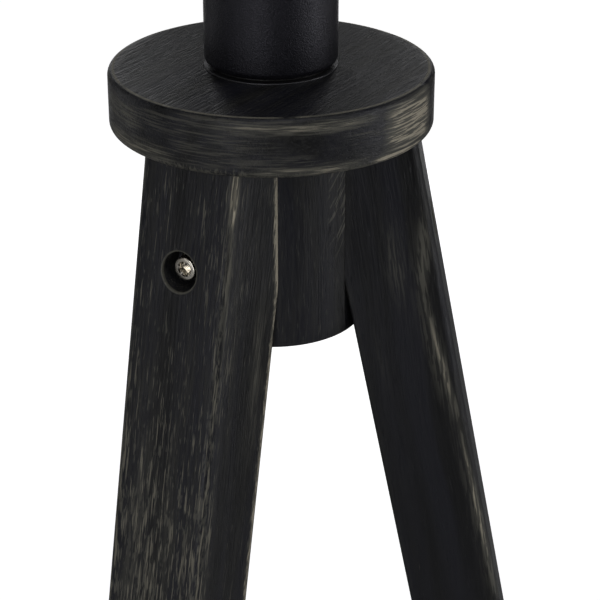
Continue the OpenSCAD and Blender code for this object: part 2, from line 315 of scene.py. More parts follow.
@dataclass
class Graph:
    """Short calls that put nodes in one node tree.

    Attributes:
        tree: The tree of a material or of a node group.
    """

    tree: bpy.types.NodeTree

    def feed(self, socket: Socket, value: object) -> None:
        """Links a socket to an input, or sets the input to a plain value."""
        if isinstance(value, bpy.types.NodeSocket):
            self.tree.links.new(value, socket)
        elif hasattr(socket.default_value, "__len__") and len(socket.default_value) == 4:
            socket.default_value = (*value, 1.0) if len(value) == 3 else value
        else:
            socket.default_value = value

    def put(self, kind: str, inputs: dict[str | int, object] | None = None,
            **settings: object) -> bpy.types.Node:
        """Adds a node.

        Args:
            kind: Type of the node, without its ShaderNode prefix.
            inputs: Values or links of its inputs, by name or by number.
            settings: Properties of the node.

        Returns:
            The new node.
        """
        node = self.tree.nodes.new(f"ShaderNode{kind}")
        for name, value in settings.items():
            setattr(node, name, value)
        for name, value in (inputs or {}).items():
            self.feed(node.inputs[name], value)
        return node

    def math(self, operation: str, *values: object, clamp: bool = False) -> Socket:
        """Result of a math node."""
        return self.put("Math", dict(enumerate(values)), operation=operation, use_clamp=clamp).outputs[0]

    def plus(self, *values: object) -> Socket:
        """The sum of several values."""
        result = values[0]
        for value in values[1:]:
            result = self.math("ADD", result, value)
        return result

    def minus(self, first: object, second: object) -> Socket:
        """The first value less the second."""
        return self.math("SUBTRACT", first, second)

    def line(self, value: object, slope: object, base: object) -> Socket:
        """A value times a slope, plus a base."""
        return self.math("MULTIPLY_ADD", value, slope, base)

    def off(self, value: object, mark: object) -> Socket:
        """Distance of a value from a mark, to either side."""
        return self.math("ABSOLUTE", self.minus(value, mark))

    def reach(self, x: object, y: object) -> Socket:
        """Length of a vector with two parts."""
        return self.math("SQRT", self.plus(self.math("POWER", x, 2.0), self.math("POWER", y, 2.0)))

    def bell(self, value: object, middle: object, width: object) -> Socket:
        """A soft hump that is 1 in its middle and falls off over a width."""
        share = self.math("ABSOLUTE", self.math("DIVIDE", self.minus(value, middle), width))
        return self.math("EXPONENT", self.math("MULTIPLY", self.math("POWER", share, 2.0), -1.0))

    def turned(self, vector: Socket, turn: Euler) -> Socket:
        """A vector turned about the origin."""
        return self.put("Mapping", {"Vector": vector, "Rotation": turn}).outputs[0]

    def towards(self, x: Socket, y: Socket, azimuth: float, radius: float) -> Socket:
        """1 where a round piece faces an azimuth, and less round from it.

        Args:
            x: First part of the place, in millimetres.
            y: Second part of the place, in millimetres.
            azimuth: The azimuth, in radians.
            radius: Radius of the piece, in metres.

        Returns:
            The cosine of the angle to that azimuth, on the piece's rim.
        """
        return self.plus(self.math("MULTIPLY", x, math.cos(azimuth) / radius * MM),
                         self.math("MULTIPLY", y, math.sin(azimuth) / radius * MM))

    def ramp(self, value: Socket, low: object, high: object) -> Socket:
        """A smooth rise from 0 at low to 1 at high, or a fall where low is the greater."""
        return self.put("MapRange", {"Value": value, "From Min": low, "From Max": high},
                        interpolation_type="SMOOTHSTEP").outputs[0]

    def noise(self, vector: Socket, scale: object, detail: float = 2.0, roughness: float = 0.5) -> Socket:
        """Value of a noise texture."""
        return self.put("TexNoise", {"Vector": vector, "Scale": scale, "Detail": detail,
                                     "Roughness": roughness}).outputs[0]

    def blend(self, share: object, first: object, second: object) -> Socket:
        """Colour between two colours."""
        return self.put("Mix", {0: share, 6: first, 7: second}, data_type="RGBA").outputs[2]

    def stretch(self, vector: Socket, factors: Sequence[float] | Vector) -> Socket:
        """A vector with each part multiplied."""
        return self.put("VectorMath", {0: vector, 1: factors}, operation="MULTIPLY").outputs[0]

    def parts(self, vector: Socket) -> tuple[Socket, Socket, Socket]:
        """The three parts of a vector."""
        node = self.put("SeparateXYZ", {0: vector})
        return node.outputs[0], node.outputs[1], node.outputs[2]

    def vector(self, x: object, y: object, z: object) -> Socket:
        """A vector from its three parts."""
        return self.put("CombineXYZ", {0: x, 1: y, 2: z}).outputs[0]

    def most(self, *masks: Socket) -> Socket:
        """The greatest of several masks."""
        result = masks[0]
        for mask in masks[1:]:
            result = self.math("MAXIMUM", result, mask)
        return result

    def times(self, *values: object) -> Socket:
        """The product of several values."""
        result = values[0]
        for value in values[1:]:
            result = self.math("MULTIPLY", result, value)
        return result

    def use(self, group: bpy.types.NodeTree, inputs: dict[str, object]) -> dict[str, Socket]:
        """Places a shared effect and gives its outputs by name."""
        node = self.tree.nodes.new("ShaderNodeGroup")
        node.node_tree = group
        for name, value in inputs.items():
            self.feed(node.inputs[name], value)
        return {output.name: output for output in node.outputs}


class Effects:
    """The surface effects that more than one finish uses, each built once as a node group."""

    def __init__(self) -> None:
        """Starts with no effect built."""
        self.built: dict[str, bpy.types.NodeTree] = {}

    def group(self, name: str, inputs: dict[str, float | Colour], outputs: Sequence[str],
              draw: Callable[[Graph, dict[str, Socket]], Sequence[Socket]]) -> bpy.types.NodeTree:
        """Builds a node group, or gives the one that is built.

        Args:
            name: Name of the group.
            inputs: Name and starting value of each input. A tuple makes a vector.
            outputs: Names of the outputs.
            draw: Puts the nodes in and gives one socket for each output.

        Returns:
            The node group.
        """
        if name in self.built:
            return self.built[name]
        tree = bpy.data.node_groups.new(name, "ShaderNodeTree")
        for label, value in inputs.items():
            kind = "NodeSocketVector" if isinstance(value, tuple) else "NodeSocketFloat"
            tree.interface.new_socket(label, in_out="INPUT", socket_type=kind).default_value = value
        for label in outputs:
            tree.interface.new_socket(label, in_out="OUTPUT", socket_type="NodeSocketFloat")
        entry, leave = tree.nodes.new("NodeGroupInput"), tree.nodes.new("NodeGroupOutput")
        results = draw(Graph(tree), {socket.name: socket for socket in entry.outputs if socket.name})
        for label, result in zip(outputs, results):
            tree.links.new(result, leave.inputs[label])
        self.built[name] = tree
        return tree

    def grain(self, graph: Graph, vector: Socket) -> dict[str, Socket]:
        """Timber grain along Z of a vector in millimetres: soft bands, fibres, pores and thin patches."""
        def draw(inside: Graph, given: dict[str, Socket]) -> Sequence[Socket]:
            place = given["Vector"]
            sway = inside.noise(inside.stretch(place, (0.02, 0.02, 0.008)), 1.0, 1.0)
            bent = inside.put("VectorMath", {0: place, 1: inside.vector(
                inside.math("MULTIPLY", sway, 14.0), inside.math("MULTIPLY", sway, 9.0), 0.0)},
                operation="ADD").outputs[0]
            band = inside.noise(inside.stretch(bent, (0.085, 0.085, 0.004)), 1.0, 1.5)
            fibre = inside.noise(inside.stretch(bent, (0.85, 0.85, 0.045)), 1.0, 3.0, 0.65)
            pores = inside.noise(inside.stretch(bent, (1.3, 1.3, 0.10)), 1.0, 1.0)
            haze = inside.noise(inside.stretch(bent, (0.11, 0.11, 0.010)), 1.0, 2.0, 0.6)
            return (inside.ramp(band, 0.36, 0.66), inside.ramp(fibre, 0.3, 0.7),
                    inside.ramp(pores, 0.62, 0.74), inside.ramp(haze, 0.40, 0.64))
        return graph.use(self.group("Timber grain", {"Vector": (0.0, 0.0, 0.0)},
                                    ("Band", "Fibre", "Pore", "Haze"), draw), {"Vector": vector})

    def strokes(self, graph: Graph, vector: Socket, width: float, length: float, cover: object) -> Socket:
        """Short dry strokes along Z, where the stain is rubbed off the high fibres.

        Args:
            graph: Graph of the material.
            vector: Place on the piece, in millimetres.
            width: Width of a stroke, in millimetres.
            length: Length of a stroke, in millimetres.
            cover: How much of the surface they cover, from 0 to 1.

        Returns:
            The mask.
        """
        def draw(inside: Graph, given: dict[str, Socket]) -> Sequence[Socket]:
            narrow = [inside.math("DIVIDE", 1.0, given[side]) for side in ("Width", "Width", "Length")]
            scaled = inside.put("VectorMath", {0: given["Vector"], 1: inside.vector(*narrow)},
                                operation="MULTIPLY").outputs[0]
            fine = inside.noise(scaled, 1.0, 2.0, 0.55)
            limit = inside.put("MapRange", {"Value": given["Cover"], "To Min": 0.78,
                                            "To Max": 0.36}).outputs[0]
            return (inside.ramp(fine, limit, inside.plus(limit, 0.09)),)
        group = self.group("Dry strokes", {"Vector": (0.0, 0.0, 0.0), "Width": 0.8, "Length": 9.0,
                                           "Cover": 0.4}, ("Mask",), draw)
        return graph.use(group, {"Vector": vector, "Width": width, "Length": length,
                                 "Cover": cover})["Mask"]

    def edge_wear(self, graph: Graph, vector: Socket, distance: Socket, width: float,
                  cover: float) -> Socket:
        """A ragged rubbed line along an edge.

        Args:
            graph: Graph of the material.
            vector: Place on the piece, in millimetres.
            distance: Distance from the edge, in millimetres.
            width: Width of the line, in millimetres.
            cover: How much of the edge is rubbed, from 0 to 1.

        Returns:
            The mask.
        """
        def draw(inside: Graph, given: dict[str, Socket]) -> Sequence[Socket]:
            place = given["Vector"]
            patch = inside.noise(inside.stretch(place, (0.045, 0.045, 0.045)), 1.0, 1.0)
            nick = inside.noise(inside.stretch(place, (0.9, 0.9, 0.22)), 1.0, 3.0, 0.62)
            limits = [inside.minus(limit, inside.math("MULTIPLY", given["Cover"], 0.5))
                      for limit in (0.72, 0.84)]
            across = inside.times(given["Width"], inside.ramp(nick, 0.3, 0.66),
                                  inside.ramp(patch, *limits))
            return (inside.ramp(given["Distance"], across, inside.math("MULTIPLY", across, 0.35)),)
        group = self.group("Edge wear", {"Vector": (0.0, 0.0, 0.0), "Distance": 9.0, "Width": 1.0,
                                         "Cover": 0.5}, ("Mask",), draw)
        return graph.use(group, {"Vector": vector, "Distance": distance, "Width": width,
                                 "Cover": cover})["Mask"]

    def spot(self, graph: Graph, across: Socket, along: Socket, scuff: "Scuff") -> Socket:
        """A soft oval spot of a scuff's place and size, which drifts across as it runs along.

        Args:
            graph: Graph of the material.
            across: Place across the grain, in millimetres.
            along: Place along the piece, in millimetres.
            scuff: The scuff; the painted highlight band of a leg is placed through it too.

        Returns:
            The mask, without the scuff's depth.
        """
        def draw(inside: Graph, given: dict[str, Socket]) -> Sequence[Socket]:
            squares = [inside.math("POWER", inside.math("ABSOLUTE", inside.math(
                "DIVIDE", inside.minus(given[way], given[f"{way} middle"]), given[f"{way} reach"])),
                2.0) for way in ("Across", "Along")]
            return (inside.math("EXPONENT", inside.math("MULTIPLY", inside.plus(*squares), -1.0)),)
        group = self.group("Soft spot", {
            "Across": 0.0, "Across middle": 0.0, "Across reach": 1.0,
            "Along": 0.0, "Along middle": 0.0, "Along reach": 1.0}, ("Mask",), draw)
        return graph.use(group, {
            "Across": across, "Across middle": graph.line(along, scuff.drift, scuff.across),
            "Across reach": scuff.across_reach, "Along": along, "Along middle": scuff.along,
            "Along reach": scuff.along_reach})["Mask"]

    def grit(self, graph: Graph, vector: Socket, size: float) -> dict[str, Socket]:
        """The fine sand of a textured coat, with slow changes of its gloss."""
        def draw(inside: Graph, given: dict[str, Socket]) -> Sequence[Socket]:
            place = given["Vector"]
            sand = inside.noise(place, inside.math("DIVIDE", 1.0, given["Size"]), 2.0, 0.6)
            slow = inside.noise(inside.stretch(place, (0.05, 0.05, 0.03)), 1.0, 2.0)
            return inside.ramp(sand, 0.34, 0.68), inside.ramp(slow, 0.35, 0.65)
        group = self.group("Grit", {"Vector": (0.0, 0.0, 0.0), "Size": 0.5}, ("Sand", "Slow"), draw)
        return graph.use(group, {"Vector": vector, "Size": size})

    def handling(self, graph: Graph, vector: Socket) -> dict[str, Socket]:
        """Marks of use: dull smears and fine scratches, for gloss and tone."""
        def draw(inside: Graph, given: dict[str, Socket]) -> Sequence[Socket]:
            place = given["Vector"]
            smear = inside.noise(inside.stretch(place, (0.09, 0.09, 0.09)), 1.0, 4.0, 0.6)
            fine = inside.noise(inside.stretch(place, (0.5, 4.0, 4.0)), 1.0, 2.0)
            return inside.ramp(smear, 0.35, 0.7), inside.ramp(fine, 0.6, 0.72)
        return graph.use(self.group("Handling", {"Vector": (0.0, 0.0, 0.0)}, ("Smear", "Scratch"), draw),
                         {"Vector": vector})


EFFECTS = Effects()


@dataclass(frozen=True)
class Finish:
    """What every finish has.

    Attributes:
        name: Name of its materials.
        gloss: Roughness in the middle of its range.
        relief: Height of its fine relief, in metres.
    """

    name: str
    gloss: float
    relief: float

    def start(self, label: str) -> tuple[bpy.types.Material, Graph, Socket, bpy.types.Node]:
        """Opens a material.

        Args:
            label: Piece that it is for, added to the finish's name.

        Returns:
            The material, its graph, the place on the object in millimetres and the shader.
        """
        material = bpy.data.materials.new(f"{self.name}_{label}")
        material.use_nodes = True
        material.node_tree.nodes.clear()
        graph = Graph(material.node_tree)
        place = graph.stretch(graph.put("TexCoord").outputs["Object"], (1 / MM, 1 / MM, 1 / MM))
        shader = graph.put("BsdfPrincipled")
        output = graph.put("OutputMaterial", {"Surface": shader.outputs[0]})
        output.is_active_output = True
        return material, graph, place, shader

    def relieve(self, graph: Graph, shader: bpy.types.Node, height: Socket) -> None:
        """Feeds a height from 0 to 1 through a Bump node to the shader."""
        bump = graph.put("Bump", {"Height": height, "Strength": 1.0, "Distance": self.relief})
        graph.feed(shader.inputs["Normal"], bump.outputs[0])


@dataclass(frozen=True)
class Scuff:
    """A soft oval place where the stain is rubbed through. The painted highlight band on a leg is placed
    with the same oval.

    Attributes:
        across: Middle across the grain, in millimetres.
        across_reach: Half width across the grain, in millimetres.
        along: Middle along the piece, in millimetres below the cap disc or round its rim.
        along_reach: Half length along the piece, in the same measure.
        depth: How far the stain is gone, from 0 to 1.
        drift: Shift across for each millimetre along.
    """

    across: float
    across_reach: float
    along: float
    along_reach: float
    depth: float
    drift: float = 0.0


@dataclass(frozen=True)
class StainedWood(Finish):
    """Black stained timber with rubbed edges, as three kinds of piece use it.

    Attributes:
        stain: Neutral black of the stain.
        bluish_grain_and_highlight: Cooler black of the soft grain bands, and of the painted highlight band
            beside one outer corner of a leg.
        raised: Thin stain on the raised fibres.
        haze: Olive of the patches where the stain lies thin.
        rubbed: Grey olive where the stain is thin.
        bare: Pale timber where it is gone.
        sheen: Specular level of the thin lacquer.
        cast: Cast of its reflections.
        painted_highlight_band: Place of the painted highlight, a bluish band beside one outer corner of a
            leg where the rounded corner's reflection falls.
    """

    name: str = "stained_wood"
    gloss: float = 0.44
    relief: float = 0.00018
    stain: Colour = (0.0022, 0.0022, 0.0026)
    bluish_grain_and_highlight: Colour = (0.0105, 0.0110, 0.0175)
    raised: Colour = (0.021, 0.021, 0.0205)
    haze: Colour = (0.040, 0.039, 0.032)
    rubbed: Colour = (0.095, 0.092, 0.076)
    bare: Colour = (0.43, 0.39, 0.305)
    sheen: float = 0.40
    cast: Colour = (0.955, 0.96, 1.0)
    # Painted highlight: a bluish band beside a leg's outer corner, standing in for the corner's reflection.
    painted_highlight_band: Scuff = Scuff(15.0, 5.0, 70.0, 95.0, 1.0)

    def coat(self, graph: Graph, shader: bpy.types.Node, grain: dict[str, Socket], wear: Socket,
             thin_stain: float, haze: object) -> None:
        """Colours, glosses and relieves the timber from its grain and its wear.

        Args:
            graph: Graph of the material.
            shader: Its Principled BSDF.
            grain: Outputs of the timber grain effect; on a leg its bands also hold the painted highlight
                band.
            wear: How far the stain is gone, from 0 to 1; on the cap disc it also holds the painted highlight
                line along the top rim.
            thin_stain: How thin the stain lies on the raised fibres, from 0 to 1.
            haze: Strength of the thin patches, from 0 to 1.
        """
        half_worn = 0.45
        # Soft grain bands turn bluish black; on a leg these bands also hold the painted highlight band.
        black = graph.blend(graph.times(grain["Band"], 0.8), self.stain, self.bluish_grain_and_highlight)
        lifted = graph.blend(graph.times(grain["Fibre"], grain["Fibre"], thin_stain), black, self.raised)
        patches = graph.times(grain["Haze"], haze, graph.line(grain["Fibre"], 0.7, 0.3))
        hazy = graph.blend(patches, lifted, self.haze)
        thin = graph.blend(graph.ramp(wear, 0.0, half_worn), hazy, self.rubbed)
        colour = graph.blend(graph.ramp(wear, half_worn, 1.0), thin, self.bare)
        graph.feed(shader.inputs["Base Color"], colour)
        fibre_gloss = graph.line(grain["Fibre"], 0.16, self.gloss - 0.08)
        gloss = graph.math("ADD", graph.times(wear, 0.25), fibre_gloss, clamp=True)
        graph.feed(shader.inputs["Roughness"], gloss)
        shader.inputs["Specular IOR Level"].default_value = self.sheen
        shader.inputs["Specular Tint"].default_value = (*self.cast, 1.0)
        hollows = graph.plus(graph.times(grain["Pore"], 0.6), graph.times(wear, 0.35))
        self.relieve(graph, shader, graph.minus(graph.times(grain["Fibre"], 0.5), hollows))

    def leg(self, leg: "Leg") -> bpy.types.Material:
        """The finish of one leg, with its grain along the leg, its corners rubbed and a painted highlight
        band beside one outer corner where the leg sets its strength.

        Args:
            leg: The leg, whose sizes and scuffs the finish follows.

        Returns:
            The leg's own material.
        """
        material, graph, place, shader = self.start(leg.side)
        reach, across, height = graph.parts(graph.turned(place, Euler((0, 0, -leg.azimuth))))
        drop = graph.minus(leg.top / MM, height)
        outer = graph.minus(graph.line(drop, math.tan(leg.splay), leg.outer_top / MM), reach)
        inner_face = graph.line(drop, math.tan(leg.splay + leg.taper), leg.inner_top / MM)
        inner = graph.math("MAXIMUM", 0.0, graph.minus(
            reach, graph.math("MAXIMUM", leg.cope_edge / MM, inner_face)))
        side = graph.minus(leg.width / 2 / MM, graph.math("ABSOLUTE", across))
        run = graph.vector(graph.line(drop, leg.run_out, outer),
                           graph.line(drop, leg.run_out / 2, across), graph.plus(drop, leg.seed))
        grain = EFFECTS.grain(graph, run)
        # Painted highlight: a bluish band beside one outer corner, merged into the grain's soft bands so
        # that it takes their bluish black.
        painted_highlight_band = EFFECTS.spot(graph, across, drop, self.painted_highlight_band)
        grain["Band"] = graph.most(grain["Band"], graph.times(painted_highlight_band, leg.painted_highlight_band))

        lower = graph.times(graph.ramp(drop, 40.0, 150.0), graph.ramp(outer, 9.0, 4.0))
        masks = [*self.leg_edges(graph, leg, run, drop, outer, inner, side),
                 self.bolt_mouth(graph, leg, across, drop, outer),
                 *self.leg_strokes(graph, leg, run, drop, lower)]
        broken = EFFECTS.strokes(graph, run, width=1.0, length=14.0, cover=0.74)
        for face, scuff in leg.scuffs:
            where, gate = across, graph.ramp(outer, 3.0, 1.0)
            if face is not Face.FRONT:
                half = leg.width / 2 / MM
                where = outer
                gate = graph.ramp(graph.math("MULTIPLY", across, face.value), half - 5.0, half - 1.0)
            spot = EFFECTS.spot(graph, where, drop, scuff)
            masks.append(graph.times(spot, gate, graph.line(broken, 0.6, 0.4), scuff.depth))
        haze = graph.line(lower, 0.65 * leg.thin_stain, 0.18 * leg.thin_stain)
        self.coat(graph, shader, grain, graph.most(*masks), leg.thin_stain, haze)
        return material

    def leg_edges(self, graph: Graph, leg: "Leg", run: Socket, drop: Socket, outer: Socket,
                  inner: Socket, side: Socket) -> list[Socket]:
        """Rubbed lines along the outer corners, the inner corners and the top edge of a leg.

        Args:
            graph: Graph of the material.
            leg: The leg.
            run: Place along the grain, in millimetres.
            drop: Distance below the leg's top, in millimetres.
            outer: Distance from the outer face, in millimetres.
            inner: Distance from the inner face, in millimetres.
            side: Distance from the nearer side face, in millimetres.

        Returns:
            The masks.
        """
        outer_corner, inner_corner = graph.plus(outer, side), graph.plus(inner, side)
        top_edge = graph.plus(drop, 0.6, outer)
        outer_wear = EFFECTS.edge_wear(graph, run, outer_corner, width=5.2, cover=leg.outer_rub)
        inner_wear = EFFECTS.edge_wear(graph, run, inner_corner, width=5.2, cover=1.1 * leg.inner_rub)
        top_wear = EFFECTS.edge_wear(graph, run, top_edge, width=2.2, cover=0.7)
        return [graph.times(outer_wear, 0.32),
                graph.times(graph.ramp(inner_corner, 3.2, 1.8), 0.56 * leg.inner_rub),
                graph.times(inner_wear, 0.92 * leg.inner_rub),
                graph.times(top_wear, 0.5)]

    def bolt_mouth(self, graph: Graph, leg: "Leg", across: Socket, drop: Socket, outer: Socket) -> Socket:
        """The rubbed ring round the mouth of a leg's counterbore."""
        out = graph.reach(across, graph.minus(drop, leg.bolt_drop / MM))
        ring = graph.ramp(graph.off(out, leg.mouth / MM), 1.0, 0.25)
        return graph.times(ring, graph.ramp(outer, 1.6, 0.6), 0.46)

    def leg_strokes(self, graph: Graph, leg: "Leg", run: Socket, drop: Socket,
                    lower: Socket) -> list[Socket]:
        """Two layers of dry strokes in clusters, thicker towards the foot of the outer face."""
        cluster = graph.noise(graph.stretch(run, (0.07, 0.07, 0.012)), 1.0, 2.0)
        cover = graph.plus(graph.times(graph.ramp(cluster, 0.42, 0.66), 0.26 * leg.thin_stain),
                           graph.line(lower, leg.dryness, leg.thin_stain * 0.32))
        masks = []
        for width, length, strength in ((0.72, 14.0, 0.56), (1.05, 7.0, 0.27)):
            stroke = EFFECTS.strokes(graph, run, width, length, cover)
            masks.append(graph.times(stroke, graph.line(lower, 0.08, strength)))
        return masks

    def hub(self, hub: "Hub") -> bpy.types.Material:
        """The finish of the turned hub, with upright grain and a few slanting scratches."""
        material, graph, place, shader = self.start("hub")
        own_board = graph.put("VectorMath", {0: place, 1: (31.0, 17.0, 5.0)}, operation="ADD").outputs[0]
        grain = EFFECTS.grain(graph, own_board)
        x, y, height = graph.parts(place)
        rim = graph.minus(hub.radius / MM, graph.reach(x, y))
        low_edge = graph.plus(rim, graph.minus(height, hub.low / MM))
        edge = EFFECTS.edge_wear(graph, place, low_edge, width=1.5, cover=0.6)
        slant = graph.turned(graph.turned(place, Euler((0, 0, -hub.scratched))),
                             Euler((math.radians(36), 0, 0)))
        cuts = EFFECTS.strokes(graph, slant, width=1.0, length=12.0, cover=0.62)
        top = hub.top / MM
        scratched = graph.times(graph.ramp(graph.towards(x, y, hub.scratched, hub.radius), 0.955, 0.995),
                                graph.ramp(height, top - 62.0, top - 30.0))
        dry = EFFECTS.strokes(graph, place, width=1.1, length=9.0, cover=0.42)
        wear = graph.most(graph.times(edge, 0.40), graph.times(cuts, scratched, 0.42),
                          graph.times(dry, 0.16))
        self.coat(graph, shader, grain, wear, thin_stain=0.45, haze=0.25)
        return material

    def disc(self, disc: "CapDisc") -> bpy.types.Material:
        """The finish of the cap disc: board grain on top, strokes round its rim, a rubbed lower rim and a
        painted highlight line along the top rim.

        Args:
            disc: The cap disc, whose sizes and scuffs the finish follows.

        Returns:
            The disc's material.
        """
        material, graph, place, shader = self.start("cap_disc")
        board_x, board_y, board_z = graph.parts(graph.turned(place, Euler((0, 0, -disc.board))))
        board = graph.vector(board_y, board_z, board_x)
        grain = EFFECTS.grain(graph, board)
        x, y, height = graph.parts(place)
        rim = graph.minus(disc.radius / MM, graph.reach(x, y))
        drop = graph.minus(disc.top / MM, height)
        ring = graph.noise(graph.stretch(place, (0.06, 0.06, 1.3)), 1.0, 3.0, 0.62)
        strokes = graph.ramp(ring, 0.43, 0.60)
        side = graph.ramp(rim, 1.6, 0.5)
        masks = []
        for scuff in disc.scuffs:
            window = graph.ramp(graph.towards(x, y, math.radians(scuff.along), disc.radius),
                                math.cos(math.radians(scuff.along_reach)),
                                math.cos(math.radians(scuff.along_reach * 0.35)))
            spot = graph.bell(drop, scuff.across, scuff.across_reach)
            masks.append(graph.times(window, spot, side, graph.line(strokes, 0.7, 0.3), scuff.depth))
        low_edge = graph.plus(rim, graph.minus(height, disc.under / MM))
        masks.append(graph.times(EFFECTS.edge_wear(graph, place, low_edge, width=5.2, cover=0.85), 0.46))
        # Painted highlight: a thin pale broken line where the flat top meets the rounded rim, drawn in the
        # colours of rubbed stain.
        rim_highlight_line = graph.ramp(graph.off(rim, disc.rim_round / MM - 0.3), 0.9, 0.3)
        broken = graph.ramp(graph.noise(graph.stretch(place, (0.09, 0.09, 0.09)), 1.0, 3.0, 0.6), 0.24, 0.46)
        masks.append(graph.times(rim_highlight_line, graph.ramp(drop, 0.9, 0.3), broken, 0.62))
        faint = graph.ramp(graph.noise(graph.stretch(place, (0.03, 0.03, 0.12)), 1.0, 1.0), 0.36, 0.62)
        masks.append(graph.times(strokes, side, faint, 0.26))
        board_strokes = EFFECTS.strokes(graph, board, width=0.9, length=9.0, cover=0.44)
        masks.append(graph.times(board_strokes, graph.ramp(drop, 2.0, 0.5), 0.16))
        self.coat(graph, shader, grain, graph.most(*masks), thin_stain=0.5, haze=0.2)
        return material


@dataclass(frozen=True)
class PowderCoat(Finish):
    """Fine textured black powder coat on the column tube.

    Attributes:
        coat: Black of the coat.
        light: Black of its raised grains.
        cast: Cast of its reflections.
        sand: Size of its grains, in millimetres.
    """

    name: str = "powder_coat"
    gloss: float = 0.37
    relief: float = 0.00007
    coat: Colour = (0.0030, 0.0030, 0.0044)
    light: Colour = (0.0085, 0.0083, 0.0120)
    cast: Colour = (0.88, 0.87, 1.0)
    sand: float = 0.62

    def material(self, label: str) -> bpy.types.Material:
        """The coat, as one material."""
        material, graph, place, shader = self.start(label)
        grit = EFFECTS.grit(graph, place, self.sand)
        graph.feed(shader.inputs["Base Color"], graph.blend(graph.times(grit["Sand"], 0.8),
                                                            self.coat, self.light))
        gloss = graph.line(grit["Slow"], 0.08, self.gloss - 0.04)
        graph.feed(shader.inputs["Roughness"], graph.line(grit["Sand"], 0.1, gloss))
        shader.inputs["Specular IOR Level"].default_value = 0.5
        shader.inputs["Specular Tint"].default_value = (*self.cast, 1.0)
        self.relieve(graph, shader, grit["Sand"])
        return material


@dataclass(frozen=True)
class Metal(Finish):
    """A plated or bare metal with smears and fine scratches.

    Attributes:
        colour: Colour of its reflections.
        tarnish: Colour where it is dull.
    """

    name: str = "bright_plate"
    gloss: float = 0.09
    relief: float = 0.00002
    colour: Colour = (0.80, 0.76, 0.68)
    tarnish: Colour = (0.38, 0.34, 0.28)

    def material(self, label: str) -> bpy.types.Material:
        """The metal, as one material."""
        material, graph, place, shader = self.start(label)
        marks = EFFECTS.handling(graph, place)
        graph.feed(shader.inputs["Base Color"], graph.blend(graph.times(marks["Smear"], 0.6),
                                                            self.colour, self.tarnish))
        scratched = graph.line(marks["Scratch"], 0.12, self.gloss)
        graph.feed(shader.inputs["Roughness"], graph.line(marks["Smear"], 0.16, scratched))
        shader.inputs["Metallic"].default_value = 1.0
        self.relieve(graph, shader, marks["Scratch"])
        return material


@dataclass(frozen=True)
class Moulded(Finish):
    """Moulded nylon or rubber, with a fine grain of its own.

    Attributes:
        colour: Main colour.
        dusty: Colour of the dusty or lighter places.
        size: Size of the fine grain, in millimetres.
    """

    name: str = "black_nylon"
    gloss: float = 0.42
    relief: float = 0.00003
    colour: Colour = (0.010, 0.010, 0.011)
    dusty: Colour = (0.026, 0.025, 0.024)
    size: float = 0.8

    def material(self, label: str) -> bpy.types.Material:
        """The moulded stuff, as one material."""
        material, graph, place, shader = self.start(label)
        grit, marks = EFFECTS.grit(graph, place, self.size), EFFECTS.handling(graph, place)
        share = graph.line(marks["Smear"], 0.5, graph.times(grit["Sand"], 0.3))
        graph.feed(shader.inputs["Base Color"], graph.blend(share, self.colour, self.dusty))
        sandy = graph.line(grit["Sand"], 0.06, self.gloss)
        graph.feed(shader.inputs["Roughness"], graph.line(marks["Smear"], 0.15, sandy))
        self.relieve(graph, shader, grit["Sand"])
        return material


@dataclass(frozen=True)
class PaleTimber(Finish):
    """Pale unstained timber of the dowels.

    Attributes:
        light: Colour between the fibres.
        dark: Colour of the fibres.
    """

    name: str = "dowel_wood"
    gloss: float = 0.6
    relief: float = 0.00008
    light: Colour = (0.60, 0.44, 0.26)
    dark: Colour = (0.42, 0.28, 0.15)

    def material(self, label: str) -> bpy.types.Material:
        """The timber, as one material."""
        material, graph, place, shader = self.start(label)
        grain = EFFECTS.grain(graph, place)
        graph.feed(shader.inputs["Base Color"], graph.blend(grain["Fibre"], self.light, self.dark))
        graph.feed(shader.inputs["Roughness"], graph.line(grain["Fibre"], 0.1, self.gloss))
        self.relieve(graph, shader, grain["Fibre"])
        return material


# ---------------------------------------------------------------- sub-assemblies

class Face(Enum):
    """Faces of a leg. The value is the side of the leg's middle that a side face lies on."""

    FRONT = 0
    OUTER_SIDE = 1
    FAR_SIDE = -1


@dataclass
class CapDisc:
    """The round cap disc.

    Attributes:
        radius: Outer radius.
        top: Height of its top.
        under: Height of its underside.
        rim_round: Radius of its rounded rims.
        board: Azimuth of the board's grain, in radians.
        scuffs: Rubbed places round the rim. Across is millimetres below the top, along is degrees.
    """

    radius: float = field(default_factory=lambda: radius_of("top_disc"))
    top: float = field(default_factory=lambda: top_of("top_disc"))
    under: float = field(default_factory=lambda: foot_of("top_disc"))
    rim_round: float = 2.6 * MM
    board: float = math.radians(57)
    scuffs: tuple[Scuff, ...] = (
        Scuff(11.5, 10.5, -34.5, 18.0, 1.45),
        Scuff(22.3, 2.0, -41.0, 18.0, 1.35),
        Scuff(3.9, 2.6, -83.0, 36.0, 0.72),
        Scuff(21.5, 2.6, -76.0, 28.0, 0.74),
        Scuff(20.0, 4.0, -146.0, 26.0, 0.66),
        Scuff(9.0, 6.0, -154.0, 18.0, 0.50),
        Scuff(9.0, 7.0, 82.0, 14.0, 0.55),
        Scuff(20.5, 3.0, 140.0, 30.0, 0.40),
    )

    def build(self, wood: StainedWood) -> None:
        """Turns the disc, works its surface by hand and dresses it."""
        outline = rounded(((SPINDLE_HOLE, self.under, 0.0), (self.radius, self.under, self.rim_round),
                           (self.radius, self.top, self.rim_round), (SPINDLE_HOLE, self.top, 0.0)), 6)
        piece = turned("cap_disc", spaced(outline, 5.0 * MM), 144)
        hand_worked(piece, 0.12 * MM, 14.0 * MM)
        hand_over(piece, TRIPOD, wood.disc(self), ("top_disc",))


